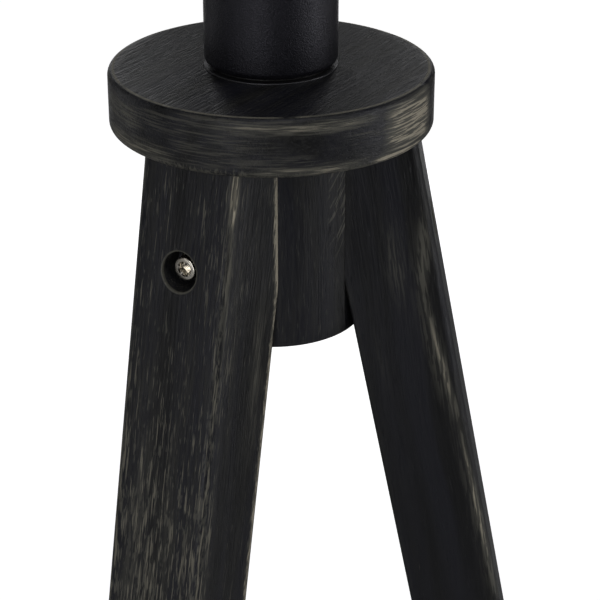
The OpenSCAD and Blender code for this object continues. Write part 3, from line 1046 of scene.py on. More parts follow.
@dataclass
class Hub:
    """The turned hub under the disc.

    Attributes:
        radius: Outer radius.
        top: Height of its top.
        low: Height of its underside.
        ease: Rounding of its edges.
        recess: Radius of the recess for the base nut.
        recess_depth: Depth of that recess.
        scratched: Azimuth of the scratched place, in radians.
    """

    radius: float = field(default_factory=lambda: radius_of("hub"))
    top: float = field(default_factory=lambda: top_of("hub"))
    low: float = field(default_factory=lambda: foot_of("hub"))
    ease: float = 0.8 * MM
    recess: float = 16.0 * MM
    recess_depth: float = field(default_factory=lambda: top_of("base_washer") - foot_of("hub"))
    scratched: float = math.radians(-41)

    def build(self, wood: StainedWood) -> None:
        """Turns the hub with its recess and dresses it."""
        ceiling = self.low + self.recess_depth
        outline = rounded(((SPINDLE_HOLE, ceiling, 0.0), (self.recess, ceiling, 0.3 * MM),
                           (self.recess, self.low, 0.5 * MM), (self.radius, self.low, self.ease),
                           (self.radius, self.top, self.ease), (SPINDLE_HOLE, self.top, 0.0)), 4)
        piece = turned("turned_hub", spaced(outline, 6.0 * MM), 128)
        hand_worked(piece, 0.08 * MM, 16.0 * MM)
        hand_over(piece, TRIPOD, wood.hub(self), ("hub",))


@dataclass
class Leg:
    """One splayed leg, modelled at azimuth 0 and turned to its own.

    Attributes:
        side: Name of the leg's place.
        azimuth: Azimuth of the leg, in radians.
        scuffs: Face and place of each rubbed spot. Along is millimetres below the cap disc.
        run_out: Slope of the grain against the leg.
        seed: Shift of the grain along the leg, in millimetres.
        inner_rub: How much of the inner corners is rubbed, from 0 to 1.
        outer_rub: How much of the outer corners is rubbed, from 0 to 1.
        dryness: How much more the dry strokes cover towards the foot.
        thin_stain: How thin the stain lies on the raised fibres, from 0 to 1.
        painted_highlight_band: Strength of the painted highlight, a bluish band beside one outer corner.
        top: Height of the leg's top.
        low: Height of its lower end.
        width: Width of its outer face.
        outer_top: Radius of the outer face at the top.
        inner_top: Radius of the inner face at the top.
        splay: Lean of the outer face.
        taper: Extra lean of the inner face.
        round_out: Rounding of the outer corners.
        round_in: Rounding of the inner corners.
        cope: Radius of the hollow that the hub fills.
        seat: Radius of the seat of the bolt's washer.
        mouth: Radius of the counterbore.
        bolt_hole: Radius of the bolt's hole.
        bolt_height: Height of the bolt's axis, in the middle of the hub.
    """

    side: str
    azimuth: float
    scuffs: tuple[tuple[Face, Scuff], ...] = ()
    run_out: float = 0.03
    seed: float = 0.0
    inner_rub: float = 0.5
    outer_rub: float = 0.42
    dryness: float = 0.12
    thin_stain: float = 0.6
    painted_highlight_band: float = 0.0
    top: float = field(default_factory=lambda: foot_of("top_disc"))
    low: float = field(default_factory=lambda: top_of("foot_pad_right"))
    width: float = 45.0 * MM
    outer_top: float = 59.0 * MM
    inner_top: float = 18.251 * MM
    splay: float = math.radians(11)
    taper: float = math.radians(0.35)
    round_out: float = 4.0 * MM
    round_in: float = 1.2 * MM
    cope: float = 38.1 * MM
    seat: float = 56.1 * MM
    mouth: float = 8.0 * MM
    bolt_hole: float = 3.3 * MM
    bolt_height: float = field(default_factory=lambda: (top_of("hub") + foot_of("hub")) / 2)

    @property
    def cope_edge(self) -> float:
        """Radius, along the leg's azimuth, of the edge between the hollow and a side face."""
        return math.sqrt(self.cope ** 2 - (self.width / 2) ** 2)

    @property
    def bolt_drop(self) -> float:
        """Distance of the bolt's axis below the cap disc."""
        return self.top - self.bolt_height

    def bar(self) -> Piece:
        """The tapering bar with its four long corners rounded."""
        clear_selection()
        bpy.ops.mesh.primitive_cube_add(size=1.0)
        piece = bpy.context.object
        piece.name = f"leg_timber_{self.side}"
        bpy.ops.object.mode_set(mode="EDIT")
        mesh = bmesh.from_edit_mesh(piece.data)
        for corner in mesh.verts:
            height = self.top if corner.co.z > 0 else self.low
            drop = self.top - height
            outer = self.outer_top + drop * math.tan(self.splay)
            inner = self.inner_top + drop * math.tan(self.splay + self.taper)
            corner.co = (outer if corner.co.x > 0 else inner,
                         math.copysign(self.width / 2, corner.co.y), height)
        bmesh.update_edit_mesh(piece.data)
        bpy.ops.object.mode_set(mode="OBJECT")
        middle = (self.top + self.low) / 2

        def long_edge(outer_one: bool) -> Callable[[Vector, Vector], bool]:
            """Test for the two long edges on one side of the bar."""
            def chosen(first: Vector, second: Vector) -> bool:
                upper = first if first.z > second.z else second
                reach = upper.x - (self.outer_top + self.inner_top) / 2
                return (first.z - middle) * (second.z - middle) < 0 and (reach > 0) == outer_one
            return chosen

        bevel_where(piece, self.round_out, 6, long_edge(True))
        bevel_where(piece, self.round_in, 3, long_edge(False))
        return piece

    def bolt_tool(self) -> Piece:
        """The stepped drill of the counterbore and the bolt's hole, along the leg's azimuth."""
        outline = [(0.0, 0.0), (self.bolt_hole, 0.0), (self.bolt_hole, self.seat), (self.mouth, self.seat),
                   (self.mouth, 2 * self.seat), (0.0, 2 * self.seat)]
        lay = Matrix.Translation((0, 0, self.bolt_height)) @ Matrix.Rotation(math.pi / 2, 4, "Y")
        return settle(turned("drill", outline, 48), lay)

    def build(self, wood: StainedWood) -> None:
        """Shapes the leg: bar, hollow for the hub, counterbore, eased mouth, cuts across and along."""
        piece = self.bar()
        hollow = prism("hollow", 128, self.cope, self.low + (self.top - self.low) / 2, self.top + 20 * MM)
        combine(piece, hollow)
        combine(piece, self.bolt_tool())
        slope = math.tan(self.splay)

        def at_mouth(first: Vector, second: Vector) -> bool:
            """True for the edges where the counterbore meets the outer face."""
            for point in (first, second):
                on_face = abs(point.x - self.outer_top - (self.top - point.z) * slope) < 0.05 * MM
                out = math.hypot(point.y, point.z - self.bolt_height)
                if not on_face or abs(out - self.mouth) > 0.2 * MM:
                    return False
            return True

        bevel_where(piece, 0.5 * MM, 3, at_mouth)
        spacing = 14.0 * MM
        rings = int((self.top - self.low) / spacing)
        slice_along(piece, Vector((0, 0, 1)), [self.low + spacing * (ring + 0.5) for ring in range(rings)])
        slice_along(piece, Vector((0, 1, 0)), [share * self.width for share in (-0.32, -0.24, 0.24, 0.32)])
        settle(piece, Matrix.Rotation(self.azimuth, 4, "Z"))
        hand_over(piece, TRIPOD, wood.leg(self), (f"leg_{self.side}",))


@dataclass
class LegBolt:
    """A socket head bolt with its washer, modelled upright and laid along a leg's azimuth.

    Attributes:
        head_radius: Radius of the head.
        head_height: Height of the head.
        flats: Width across flats of the hex socket.
        socket_depth: Depth of the socket.
        shank_radius: Radius of the shank.
        grip: Length of the shank.
        washer_radius: Outer radius of the washer.
        washer_height: Thickness of the washer.
        knurls: Grooves round the head.
        groove_floor: Radius of the grooves' floor, as a share of the head's.
        turn: Turn of the first bolt's hex socket, in degrees.
        turn_step: Further turn of each next bolt, in degrees.
    """

    head_radius: float = 5.0 * MM
    head_height: float = 6.0 * MM
    flats: float = 5.0 * MM
    socket_depth: float = 3.2 * MM
    shank_radius: float = 3.0 * MM
    grip: float = 35.2 * MM
    washer_radius: float = 6.0 * MM
    washer_height: float = 1.6 * MM
    knurls: int = 36
    groove_floor: float = 0.955
    turn: float = 21.0
    turn_step: float = 37.0

    def head(self) -> Piece:
        """The bolt with a knurled, chamfered head and a hex socket."""
        outline = rounded(((0.0, -self.grip, 0.0), (self.shank_radius - 0.5 * MM, -self.grip, 0.0),
                           (self.shank_radius, -self.grip + 0.5 * MM, 0.0), (self.shank_radius, 0.0, 0.0),
                           (self.head_radius, 0.0, 0.3 * MM), (self.head_radius, self.head_height, 0.7 * MM),
                           (0.0, self.head_height, 0.0)), 4)
        piece = turned("leg_bolt", outline, 2 * self.knurls)
        bpy.ops.object.mode_set(mode="EDIT")
        bpy.ops.mesh.select_mode(type="VERT")
        bpy.ops.mesh.select_all(action="DESELECT")
        mesh = bmesh.from_edit_mesh(piece.data)
        for point in mesh.verts:
            order = round(math.atan2(point.co.y, point.co.x) / math.pi * self.knurls)
            on_rim = math.hypot(point.co.x, point.co.y) > self.head_radius - 0.02 * MM
            point.select_set(on_rim and order % 2 == 0)
        bmesh.update_edit_mesh(piece.data)
        bpy.ops.transform.resize(value=(self.groove_floor, self.groove_floor, 1.0),
                                 center_override=(0, 0, 0))
        bpy.ops.object.mode_set(mode="OBJECT")
        corner, face = self.flats / math.sqrt(3), self.head_height
        floor = face - self.socket_depth
        combine(piece, prism("key", 6, corner, floor, face + MM))
        combine(piece, turned("mouth", [(0.0, face - 1.0 * MM), (corner - 0.7 * MM, face - 1.0 * MM),
                                        (corner + 0.6 * MM, face + 0.3 * MM), (0.0, face + 0.3 * MM)], 48))
        return combine(piece, turned("tip", [(0.0, floor - 0.9 * MM), (self.flats * 0.47, floor + 0.1 * MM),
                                             (0.0, floor + 0.1 * MM)], 36))

    def washer(self) -> Piece:
        """The washer, with softened rims, on z = 0 upwards."""
        hole = self.shank_radius + 0.15 * MM
        outline = rounded(((hole, 0.0, 0.15 * MM), (self.washer_radius, 0.0, 0.25 * MM),
                           (self.washer_radius, self.washer_height, 0.35 * MM),
                           (hole, self.washer_height, 0.2 * MM)), 3)
        return turned("leg_bolt_washer", outline, 64)

    def build(self, legs: Sequence[Leg], metal: Metal) -> None:
        """Lays a bolt and a washer in each leg's counterbore."""
        bolt, washer = self.head(), self.washer()
        plate = metal.material("leg_bolts")
        for number, leg in enumerate(legs):
            lay = (Matrix.Rotation(leg.azimuth, 4, "Z") @ Matrix.Translation((leg.seat, 0, leg.bolt_height))
                   @ Matrix.Rotation(math.pi / 2, 4, "Y"))
            turn = Matrix.Rotation(math.radians(self.turn + self.turn_step * number), 4, "Z")
            head = settle(copied(bolt, f"leg_bolt_{leg.side}"),
                          lay @ Matrix.Translation((0, 0, self.washer_height)) @ turn)
            ring = settle(copied(washer, f"leg_bolt_washer_{leg.side}"), lay)
            hand_over(head, TRIPOD, plate, ("leg_bolts",) if number == 0 else ())
            hand_over(ring, TRIPOD, plate, ("leg_bolt_washers",) if number == 0 else ())
        bpy.data.objects.remove(bolt)
        bpy.data.objects.remove(washer)


@dataclass
class Foot:
    """The rubber pad and its screw under each leg.

    Attributes:
        radius: Radius of the pad.
        height: Thickness of the pad.
        hole: Radius of the screw's hole.
        recess: Radius of the recess for the screw's head.
        recess_depth: Depth of that recess.
        head_radius: Radius of the screw's head.
        head_height: Height of the screw's head.
        head_low: Height of the head's face above the floor.
        shank_radius: Radius of the screw's shank.
        shank: Length of the shank.
        grooves: Inner radius of each groove in the sole.
        groove_depth: Depth of these grooves.
        cross: Length, width and twice the depth of the slots in the screw's head.
        turn: Turn of the first screw's slots, in degrees.
        turn_step: Further turn of each next screw, in degrees.
    """

    radius: float = 15.0 * MM
    height: float = field(default_factory=lambda: top_of("foot_pad_right"))
    hole: float = 2.05 * MM
    recess: float = 4.3 * MM
    recess_depth: float = 3.2 * MM
    head_radius: float = 4.0 * MM
    head_height: float = 2.2 * MM
    head_low: float = field(default_factory=lambda: foot_of("foot_screws"))
    shank_radius: float = 2.0 * MM
    shank: float = 28.0 * MM
    grooves: tuple[float, ...] = (7.4 * MM, 10.6 * MM)
    groove_depth: float = 0.8 * MM
    cross: tuple[float, float, float] = (4.2 * MM, 0.9 * MM, 2.6 * MM)
    turn: float = 20.0
    turn_step: float = 50.0

    def pad(self) -> Piece:
        """The pad with soft rims and two rings grooved into its sole."""
        corners: list[Corner] = [(self.hole, self.height, 0.0), (self.hole, self.recess_depth, 0.0),
                                 (self.recess, self.recess_depth, 0.0), (self.recess, 0.0, 0.4 * MM)]
        for ring in self.grooves:
            corners += [(ring, 0.0, 0.2 * MM), (ring + 0.3 * MM, self.groove_depth, 0.1 * MM),
                        (ring + 0.9 * MM, self.groove_depth, 0.1 * MM), (ring + 1.2 * MM, 0.0, 0.2 * MM)]
        corners += [(self.radius, 0.0, 0.9 * MM), (self.radius, self.height, 0.5 * MM)]
        return turned("foot_pad", rounded(corners, 3), 72)

    def screw(self) -> Piece:
        """The screw, head down, with a cross recess in its face."""
        low, top = self.head_low, self.head_low + self.head_height
        outline = rounded(((0.0, low, 0.0), (self.head_radius - 0.8 * MM, low, 0.5 * MM),
                           (self.head_radius, top - 0.4 * MM, 0.3 * MM), (self.head_radius, top, 0.0),
                           (self.shank_radius, top, 0.0),
                           (self.shank_radius, top + self.shank - 3 * MM, 0.0),
                           (0.0, top + self.shank, 0.0)), 3)
        piece = turned("foot_screw", outline, 48)
        for turn in (0.0, math.pi / 2):
            clear_selection()
            bpy.ops.mesh.primitive_cube_add(size=1.0, location=(0, 0, low), rotation=(0, 0, turn),
                                            scale=self.cross)
            slot = bpy.context.object
            bpy.ops.object.transform_apply(location=True, rotation=True, scale=True)
            combine(piece, slot)
        return piece

    def build(self, legs: Sequence[Leg], rubber: Moulded, metal: Metal) -> None:
        """Puts a pad and a screw under each leg."""
        pad, screw = self.pad(), self.screw()
        sole, plate = rubber.material("foot_pads"), metal.material("foot_screws")
        for number, leg in enumerate(legs):
            low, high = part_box(f"foot_pad_{leg.side}")
            place = Matrix.Translation(((low[0] + high[0]) / 2, (low[1] + high[1]) / 2, 0.0))
            turn = Matrix.Rotation(math.radians(self.turn + self.turn_step * number), 4, "Z")
            rest = settle(copied(pad, f"foot_rubber_{leg.side}"), place)
            fixing = settle(copied(screw, f"foot_screw_{leg.side}"), place @ turn)
            hand_over(rest, TRIPOD, sole, (f"foot_pad_{leg.side}",))
            hand_over(fixing, TRIPOD, plate, ("foot_screws",) if number == 0 else ())
        bpy.data.objects.remove(pad)
        bpy.data.objects.remove(screw)


@dataclass
class Column:
    """The steel column: tube, socket liner and the two bearings inside it.

    Attributes:
        radius: Outer radius of the tube.
        wall: Wall of the tube.
        rolled: Outer radius of the rolled-in lower edge.
        lip: Radius of the opening under the column.
        low: Height of the tube's lower edge.
        top: Height of the tube's upper edge.
        socket: Radius of the liner's bore.
        liner_low: Height of the liner's lower end.
        liner_top: Height of the flange's top.
        gap: Gap round what is fitted in the tube or in a bearing plate.
        bush_flange: Width of a bush's flange.
        bush_bore: Radius of a bush's bore.
    """

    radius: float = field(default_factory=lambda: radius_of("column_tube"))
    wall: float = 2.0 * MM
    rolled: float = 3.2 * MM
    lip: float = 17.3 * MM
    low: float = field(default_factory=lambda: foot_of("column_tube"))
    top: float = field(default_factory=lambda: top_of("column_tube"))
    socket: float = 22.5 * MM
    liner_low: float = field(default_factory=lambda: foot_of("socket_liner"))
    liner_top: float = field(default_factory=lambda: top_of("socket_liner"))
    gap: float = 0.05 * MM
    bush_flange: float = 3.0 * MM
    bush_bore: float = 6.05 * MM

    def tube(self, coat: PowderCoat) -> None:
        """The tube with its rolled and closed lower edge."""
        bore = self.radius - self.wall
        inner_roll = self.rolled - self.wall
        outline = rounded(((self.lip, self.low, 0.3 * MM), (self.radius, self.low, self.rolled),
                           (self.radius, self.top, 0.2 * MM), (bore, self.top, 0.2 * MM),
                           (bore, self.low + self.wall, inner_roll),
                           (self.lip, self.low + self.wall, 0.3 * MM)), 9)
        piece = turned("column_shell", spaced(outline, 9.0 * MM), 128)
        hand_worked(piece, 0.05 * MM, 40.0 * MM)
        hand_over(piece, COLUMN, coat.material("column"), ("column_tube",))

    def liner(self, nylon: Moulded) -> None:
        """The socket's liner, with a rounded flange and a lead-in at its mouth."""
        body, flange_low = self.radius - self.wall - self.gap, self.top + 0.02 * MM
        outline = rounded(((self.socket, self.liner_low, 0.4 * MM), (body, self.liner_low, 0.8 * MM),
                           (body, flange_low, 0.0), (self.radius, flange_low, 0.3 * MM),
                           (self.radius, self.liner_top, 1.2 * MM),
                           (self.socket, self.liner_top, 0.9 * MM)), 5)
        piece = turned("socket_lining", outline, 128)
        hand_over(piece, COLUMN, nylon.material("liner"), ("socket_liner",))

    def bearing(self, level: str, plate: Metal, bronze: Metal) -> None:
        """One bearing plate with its flanged bush."""
        plate_node, bush_node = f"{level}_bearing_plate", f"{level}_bush"
        low, top = foot_of(plate_node), top_of(plate_node)
        seat = radius_of("lower_bush") - self.bush_flange + self.gap
        outline = rounded(((seat, low, 0.3 * MM), (radius_of(plate_node), low, 0.5 * MM),
                           (radius_of(plate_node), top, 0.5 * MM), (seat, top, 0.2 * MM)), 3)
        disc = turned(f"{level}_bearing_disc", outline, 96)
        hand_over(disc, COLUMN, plate.material(plate_node), (plate_node,))
        flange, bush_low, bush_top = radius_of(bush_node), foot_of(bush_node), top_of(bush_node)
        body = flange - self.bush_flange
        outline = rounded(((self.bush_bore, bush_low, 0.4 * MM), (body, bush_low, 0.4 * MM),
                           (body, top, 0.0), (flange, top, 0.2 * MM), (flange, bush_top, 0.4 * MM),
                           (self.bush_bore, bush_top, 0.5 * MM)), 3)
        ring = turned(f"{level}_bearing_bush", outline, 72)
        hand_over(ring, COLUMN, bronze.material(bush_node), (bush_node,))

    def build(self, coat: PowderCoat, nylon: Moulded, plate: Metal, bronze: Metal) -> None:
        """Builds the whole column."""
        self.tube(coat)
        self.liner(nylon)
        for level in ("lower", "upper"):
            self.bearing(level, plate, bronze)


@dataclass
class Spindle:
    """The threaded spindle with its nuts and large washers.

    Attributes:
        radius: Radius over the thread.
        pitch: Pitch of the thread.
        flats: Width across flats of the nuts.
        thrust_hole: Radius of the thrust washer's hole.
        thread_depth: Depth of the thread.
        base_thread: Length of the lower thread, under disc and hub.
        deck_thread: How far the middle thread starts below the wear plate.
    """

    radius: float = 6.0 * MM
    pitch: float = 1.75 * MM
    flats: float = 18.0 * MM
    thrust_hole: float = 17.3 * MM
    thread_depth: float = 0.95 * MM
    base_thread: float = 45.0 * MM
    deck_thread: float = 6.0 * MM

    def rod(self, metal: Metal) -> None:
        """The spindle, threaded for its nuts and plain where the bushes turn on it."""
        low, top = foot_of("spindle"), top_of("spindle")
        root = self.radius - self.thread_depth
        base_end, neck = low + self.base_thread, top_of("clamp_nut") + 1.0 * MM
        outline = [(0.0, low)] + threaded(low + 0.4 * MM, base_end, self.radius, root, self.pitch)
        outline += [(self.radius, base_end + 1 * MM)]
        outline += threaded(foot_of("wear_plate") - self.deck_thread, neck, self.radius, root, self.pitch)
        shoulder = foot_of("retaining_washer")
        outline += [(self.radius, neck + 0.5 * MM), (self.radius, shoulder - 0.5 * MM)]
        outline += threaded(shoulder, top - 0.6 * MM, self.radius, root, self.pitch)
        outline += [(root - 0.4 * MM, top), (0.0, top)]
        piece = turned("spindle_rod", outline, 48)
        hand_over(piece, TRIPOD, metal.material("spindle"), ("spindle",))

    def nut(self, node: str, body: str, metal: Metal) -> None:
        """A hex nut with both ends chamfered and a countersunk bore."""
        low, top = foot_of(node), top_of(node)
        corner, crown = self.flats / math.sqrt(3), 1.1 * MM
        piece = prism(f"{node}_hex", 6, corner, low, top)
        rim = self.flats / 2 - 0.1 * MM
        wide = corner + 0.3 * MM
        chamfered = turned("crown", [(0.0, low), (rim, low), (wide, low + crown), (wide, top - crown),
                                     (rim, top), (0.0, top)], 72)
        combine(piece, chamfered, "INTERSECT")
        bore = self.radius + 0.05 * MM
        tool = [(0.0, low - MM), (bore + 1.7 * MM, low - MM), (bore, low + 0.7 * MM), (bore, top - 0.7 * MM),
                (bore + 1.7 * MM, top + MM), (0.0, top + MM)]
        combine(piece, turned("bore", tool, 48))
        hand_over(piece, body, metal.material(node), (node,), 24.0)

    def washer(self, node: str, body: str, metal: Metal) -> None:
        """A large stamped washer, with one softer rim."""
        low, top, outer = foot_of(node), top_of(node), radius_of(node)
        outline = rounded(((SPINDLE_HOLE, low, 0.2 * MM), (outer, low, 0.2 * MM), (outer, top, 0.7 * MM),
                           (SPINDLE_HOLE, top, 0.3 * MM)), 3)
        hand_over(turned(f"{node}_ring", outline, 72), body, metal.material(node), (node,))

    def build(self, metal: Metal, blackened: Metal, nylon: Moulded) -> None:
        """Builds the spindle and everything on it."""
        self.rod(metal)
        for node in ("base_nut", "clamp_nut", "retaining_nut"):
            self.nut(node, TRIPOD, metal)
        for node in ("base_washer", "retaining_washer"):
            self.washer(node, TRIPOD, metal)
        self.sliding_faces(blackened, nylon)

    def sliding_faces(self, metal: Metal, nylon: Moulded) -> None:
        """The wear plate on the disc and the thrust washer under the column."""
        low, top, outer = foot_of("wear_plate"), top_of("wear_plate"), radius_of("wear_plate")
        outline = rounded(((SPINDLE_HOLE, low, 0.0), (outer, low, 0.1 * MM), (outer, top, 0.22 * MM),
                           (SPINDLE_HOLE, top, 0.1 * MM)), 3)
        hand_over(turned("wear_ring", outline, 128), TRIPOD, metal.material("wear_plate"),
                  ("wear_plate",))
        low, top, outer = foot_of("thrust_washer"), top_of("thrust_washer"), radius_of("thrust_washer")
        outline = rounded(((self.thrust_hole, low, 0.1 * MM), (outer, low, 0.15 * MM),
                           (outer, top, 0.15 * MM), (self.thrust_hole, top, 0.1 * MM)), 3)
        hand_over(turned("thrust_ring", outline, 128), TRIPOD,
                  nylon.material("thrust_washer"), ("thrust_washer",))


# ---------------------------------------------------------------- studio

@dataclass(frozen=True)
class SoftBox:
    """A soft lamp panel that stands round the object.

    Attributes:
        name: Name of the lamp.
        azimuth: Degrees round from the camera's side, to the right.
        distance: Distance from the column's axis, in metres.
        height: Height of its middle, in metres.
        width: Width of the panel, in metres.
        tall: Height of the panel, in metres.
        radiance: Brightness of the panel.
    """

    name: str
    azimuth: float
    distance: float
    height: float
    width: float
    tall: float
    radiance: float

    def put_up(self, aim: Vector) -> None:
        """Puts the lamp up, facing the point aim."""
        turn = math.radians(self.azimuth)
        place = Vector((math.sin(turn) * self.distance, -math.cos(turn) * self.distance, self.height))
        lamp = bpy.data.lights.new(self.name, "AREA")
        lamp.shape, lamp.size, lamp.size_y = "RECTANGLE", self.width, self.tall
        lamp.energy = 4 * self.width * self.tall * self.radiance
        holder = bpy.data.objects.new(self.name, lamp)
        holder.location = place
        holder.rotation_euler = (aim - place).to_track_quat("-Z", "Y").to_euler()
        holder.visible_camera = False
        bpy.context.scene.collection.objects.link(holder)


def strip(name: str, azimuth: float, radiance: float, width: float = 0.32) -> SoftBox:
    """A tall narrow panel on the ring of lamps round the object."""
    return SoftBox(name, azimuth, distance=1.5, height=0.85, width=width, tall=1.9, radiance=radiance)


@dataclass
class Studio:
    """Pale floor, soft light and the camera.

    Attributes:
        turn: Place of the camera round the column, in degrees to the left of the front.
        elevation: Height angle of the camera, in degrees.
        distance: Distance of the camera from its aim, in metres.
        lens: Focal length, in millimetres.
        aim_aside: Aim of the camera to the right of the column's axis, in metres.
        aim_drop: Aim of the camera below the disc's top, in metres.
        ambient: Brightness of the room as it falls on the object.
        sensor: Width of the camera's sensor, in millimetres.
        floor_size: Length of the floor's sides, in metres.
        paper: Colour of the floor.
        glow: Floor's own brightness to the camera, near the object and away from it.
        glow_between: Distances from the axis between which that brightness rises, in metres.
        lamps: The soft boxes.
    """

    turn: float = 1.6
    elevation: float = 25.25
    distance: float = 0.838
    lens: float = 118.1
    aim_aside: float = 0.0116
    aim_drop: float = 0.1053
    ambient: float = 0.006
    sensor: float = 36.0
    floor_size: float = 40.0
    paper: Colour = (0.62, 0.62, 0.62)
    glow: tuple[float, float] = (0.85, 1.0)
    glow_between: tuple[float, float] = (0.5, 1.3)
    lamps: tuple[SoftBox, ...] = (
        strip("key_front_left", -25.0, 2.65),
        strip("key_right", 80.0, 2.9),
        strip("fill_left", -60.0, 0.62),
        strip("fill_right", 50.0, 0.33, width=0.60),
        strip("rim_left", -120.0, 0.7),
        strip("rim_right", 120.0, 0.3),
        strip("back_left", -165.0, 0.95, width=0.36),
        strip("back_right", 165.0, 0.9, width=0.36),
        SoftBox("low_back", 180.0, distance=1.5, height=0.30, width=0.5, tall=0.5, radiance=0.3),
        SoftBox("overhead", 20.0, distance=0.6, height=2.2, width=1.3, tall=1.3, radiance=0.76),
    )

    def camera(self) -> None:
        """Makes the camera, upright and aimed at a point below the cap disc."""
        turn, tilt = math.radians(self.turn), math.radians(self.elevation)
        aside = Vector((math.cos(turn), -math.sin(turn), 0.0))
        back = Vector((-math.sin(turn) * math.cos(tilt), -math.cos(turn) * math.cos(tilt), math.sin(tilt)))
        aim = aside * self.aim_aside + Vector((0.0, 0.0, top_of("top_disc") - self.aim_drop))
        data = bpy.data.cameras.new("camera")
        data.lens, data.sensor_width = self.lens, self.sensor
        data.clip_start, data.clip_end = 0.01, 50.0
        holder = bpy.data.objects.new("camera", data)
        holder.location = aim + back * self.distance
        holder.rotation_euler = (-back).to_track_quat("-Z", "Y").to_euler()
        bpy.context.scene.collection.objects.link(holder)
        bpy.context.scene.camera = holder

    def room(self) -> None:
        """A white room that lights the object only softly."""
        world = bpy.data.worlds.new("room")
        world.use_nodes = True
        world.node_tree.nodes.clear()
        graph = Graph(world.node_tree)
        seen = graph.put("LightPath").outputs["Is Camera Ray"]
        strength = graph.put("MapRange", {"Value": seen, "To Min": self.ambient, "To Max": 1.0}).outputs[0]
        sky = graph.put("Background", {"Color": WHITE, "Strength": strength})
        graph.put("OutputWorld", {"Surface": sky.outputs[0]})
        bpy.context.scene.world = world

    def floor(self) -> None:
        """A plain pale floor just under the feet, clear when seen from below."""
        clear_selection()
        bpy.ops.mesh.primitive_plane_add(size=self.floor_size, location=(0, 0, -0.2 * MM))
        floor = bpy.context.object
        floor.name = "floor"
        material = bpy.data.materials.new("pale_floor")
        material.use_nodes = True
        material.node_tree.nodes.clear()
        graph = Graph(material.node_tree)
        seen = graph.put("LightPath").outputs["Is Camera Ray"]
        paper = graph.put("BsdfDiffuse", {"Color": self.paper})
        away = graph.put("VectorMath", {0: graph.put("TexCoord").outputs["Object"]}, operation="LENGTH")
        whiteness = graph.put("MapRange", {
            "Value": away.outputs["Value"], "From Min": self.glow_between[0],
            "From Max": self.glow_between[1], "To Min": self.glow[0], "To Max": self.glow[1]}).outputs[0]
        glow = graph.put("Emission", {"Color": WHITE, "Strength": graph.times(seen, whiteness)})
        both = graph.put("AddShader", {0: paper.outputs[0], 1: glow.outputs[0]})
        clear = graph.put("BsdfTransparent")
        facing = graph.put("NewGeometry").outputs["Backfacing"]
        surface = graph.put("MixShader", {0: facing, 1: both.outputs[0], 2: clear.outputs[0]})
        graph.put("OutputMaterial", {"Surface": surface.outputs[0]})
        floor.data.materials.append(material)

    def build(self) -> None:
        """Makes the camera, the room, the floor and the lamps."""
        self.camera()
        self.room()
        self.floor()
        deck = top_of("top_disc")
        for lamp in self.lamps:
            lamp.put_up(Vector((0.0, 0.0, deck if lamp.name == "overhead" else lamp.height)))
        view = bpy.context.scene.view_settings
        view.view_transform, view.look = "Standard", "None"


# ---------------------------------------------------------------- assembly

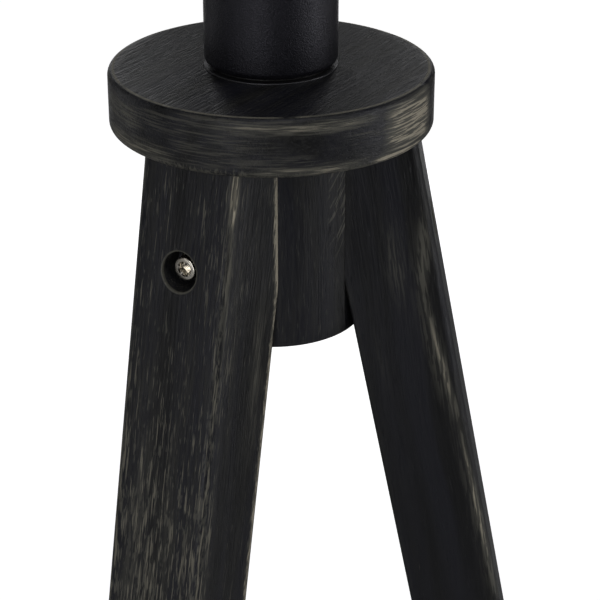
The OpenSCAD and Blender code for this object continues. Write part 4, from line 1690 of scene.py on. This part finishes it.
def make_legs() -> list[Leg]:
    """The three legs with their own grain and scuffs."""
    turns = leg_azimuths()
    front = (
        (Face.OUTER_SIDE, Scuff(1.5, 1.2, 8.0, 13.0, 1.7)),
        (Face.OUTER_SIDE, Scuff(1.2, 1.0, 40.0, 26.0, 0.55, 0.02)),
        (Face.OUTER_SIDE, Scuff(20.0, 3.6, 82.0, 26.0, 0.42, 0.10)),
        (Face.OUTER_SIDE, Scuff(30.0, 6.0, 92.0, 40.0, 0.30)),
        (Face.OUTER_SIDE, Scuff(8.0, 5.0, 52.0, 26.0, 0.16)),
        (Face.FRONT, Scuff(-21.0, 1.4, 6.0, 9.0, 0.6)),
        (Face.FRONT, Scuff(-8.0, 5.0, 150.0, 60.0, 0.26, -0.02)),
    )
    right = (
        (Face.FAR_SIDE, Scuff(-2.7, 2.6, 52.0, 22.0, 0.55, 0.172)),
        (Face.FAR_SIDE, Scuff(-2.0, 6.0, 56.0, 26.0, 0.20, 0.172)),
        (Face.FAR_SIDE, Scuff(14.9, 1.9, 98.0, 36.0, 0.80, -0.0875)),
        (Face.FAR_SIDE, Scuff(16.2, 4.8, 98.0, 36.0, 0.30, -0.0875)),
        (Face.FAR_SIDE, Scuff(8.2, 1.5, 168.0, 50.0, 0.85, -0.033)),
        (Face.FAR_SIDE, Scuff(9.4, 3.6, 170.0, 60.0, 0.24, -0.033)),
        (Face.FAR_SIDE, Scuff(18.0, 5.0, 54.0, 20.0, 0.26)),
        (Face.FAR_SIDE, Scuff(31.5, 3.6, 96.0, 20.0, 0.12)),
    )
    back = (
        (Face.OUTER_SIDE, Scuff(4.0, 1.8, 70.0, 46.0, 0.5)),
        (Face.FAR_SIDE, Scuff(9.0, 2.2, 230.0, 60.0, 0.55, -0.02)),
        (Face.FRONT, Scuff(17.0, 3.0, 150.0, 60.0, 0.4)),
    )
    # Only the front left leg gets the painted highlight band beside its outer corner.
    return [Leg("front_left", turns["front_left"], front, run_out=0.02, seed=13.0, inner_rub=1.0,
                outer_rub=0.72, dryness=0.27, thin_stain=0.85, painted_highlight_band=1.4),
            Leg("right", turns["right"], right, run_out=-0.05, seed=407.0, inner_rub=0.12,
                outer_rub=0.1, dryness=0.0, thin_stain=0.15),
            Leg("back_left", turns["back_left"], back, run_out=0.035, seed=811.0, inner_rub=0.6,
                outer_rub=0.5, dryness=0.18, thin_stain=0.6)]


def main() -> None:
    """Builds every sub-assembly, dresses the kept CAD nodes and sets up the studio."""
    logging.basicConfig(level=logging.INFO, format="%(name)s: %(message)s")
    wood, coat, plate = StainedWood(), PowderCoat(), Metal()
    bronze = Metal("bush_bronze", gloss=0.3, colour=(0.62, 0.42, 0.20), tarnish=(0.36, 0.22, 0.10))
    brass = Metal("insert_brass", gloss=0.3, colour=(0.72, 0.55, 0.28), tarnish=(0.42, 0.30, 0.14))
    blackened = Metal("blackened_steel", gloss=0.42, colour=(0.11, 0.11, 0.12), tarnish=(0.05, 0.05, 0.05))
    nylon = Moulded()
    rubber = Moulded("pad_rubber", gloss=0.72, relief=0.00006, colour=(0.012, 0.012, 0.012),
                     dusty=(0.040, 0.038, 0.036), size=0.5)
    legs = make_legs()
    Studio().build()
    CapDisc().build(wood)
    Hub().build(wood)
    for leg in legs:
        leg.build(wood)
    LegBolt().build(legs, plate)
    Foot().build(legs, rubber, plate)
    Column().build(coat, nylon, plate, bronze)
    Spindle().build(plate, blackened, nylon)
    dress_node("leg_inserts", brass.material("leg_inserts"))
    dress_node("leg_dowels", PaleTimber().material("leg_dowels"))
    dress_node("disc_screws", plate.material("disc_screws"))


if __name__ == "__main__":
    main()
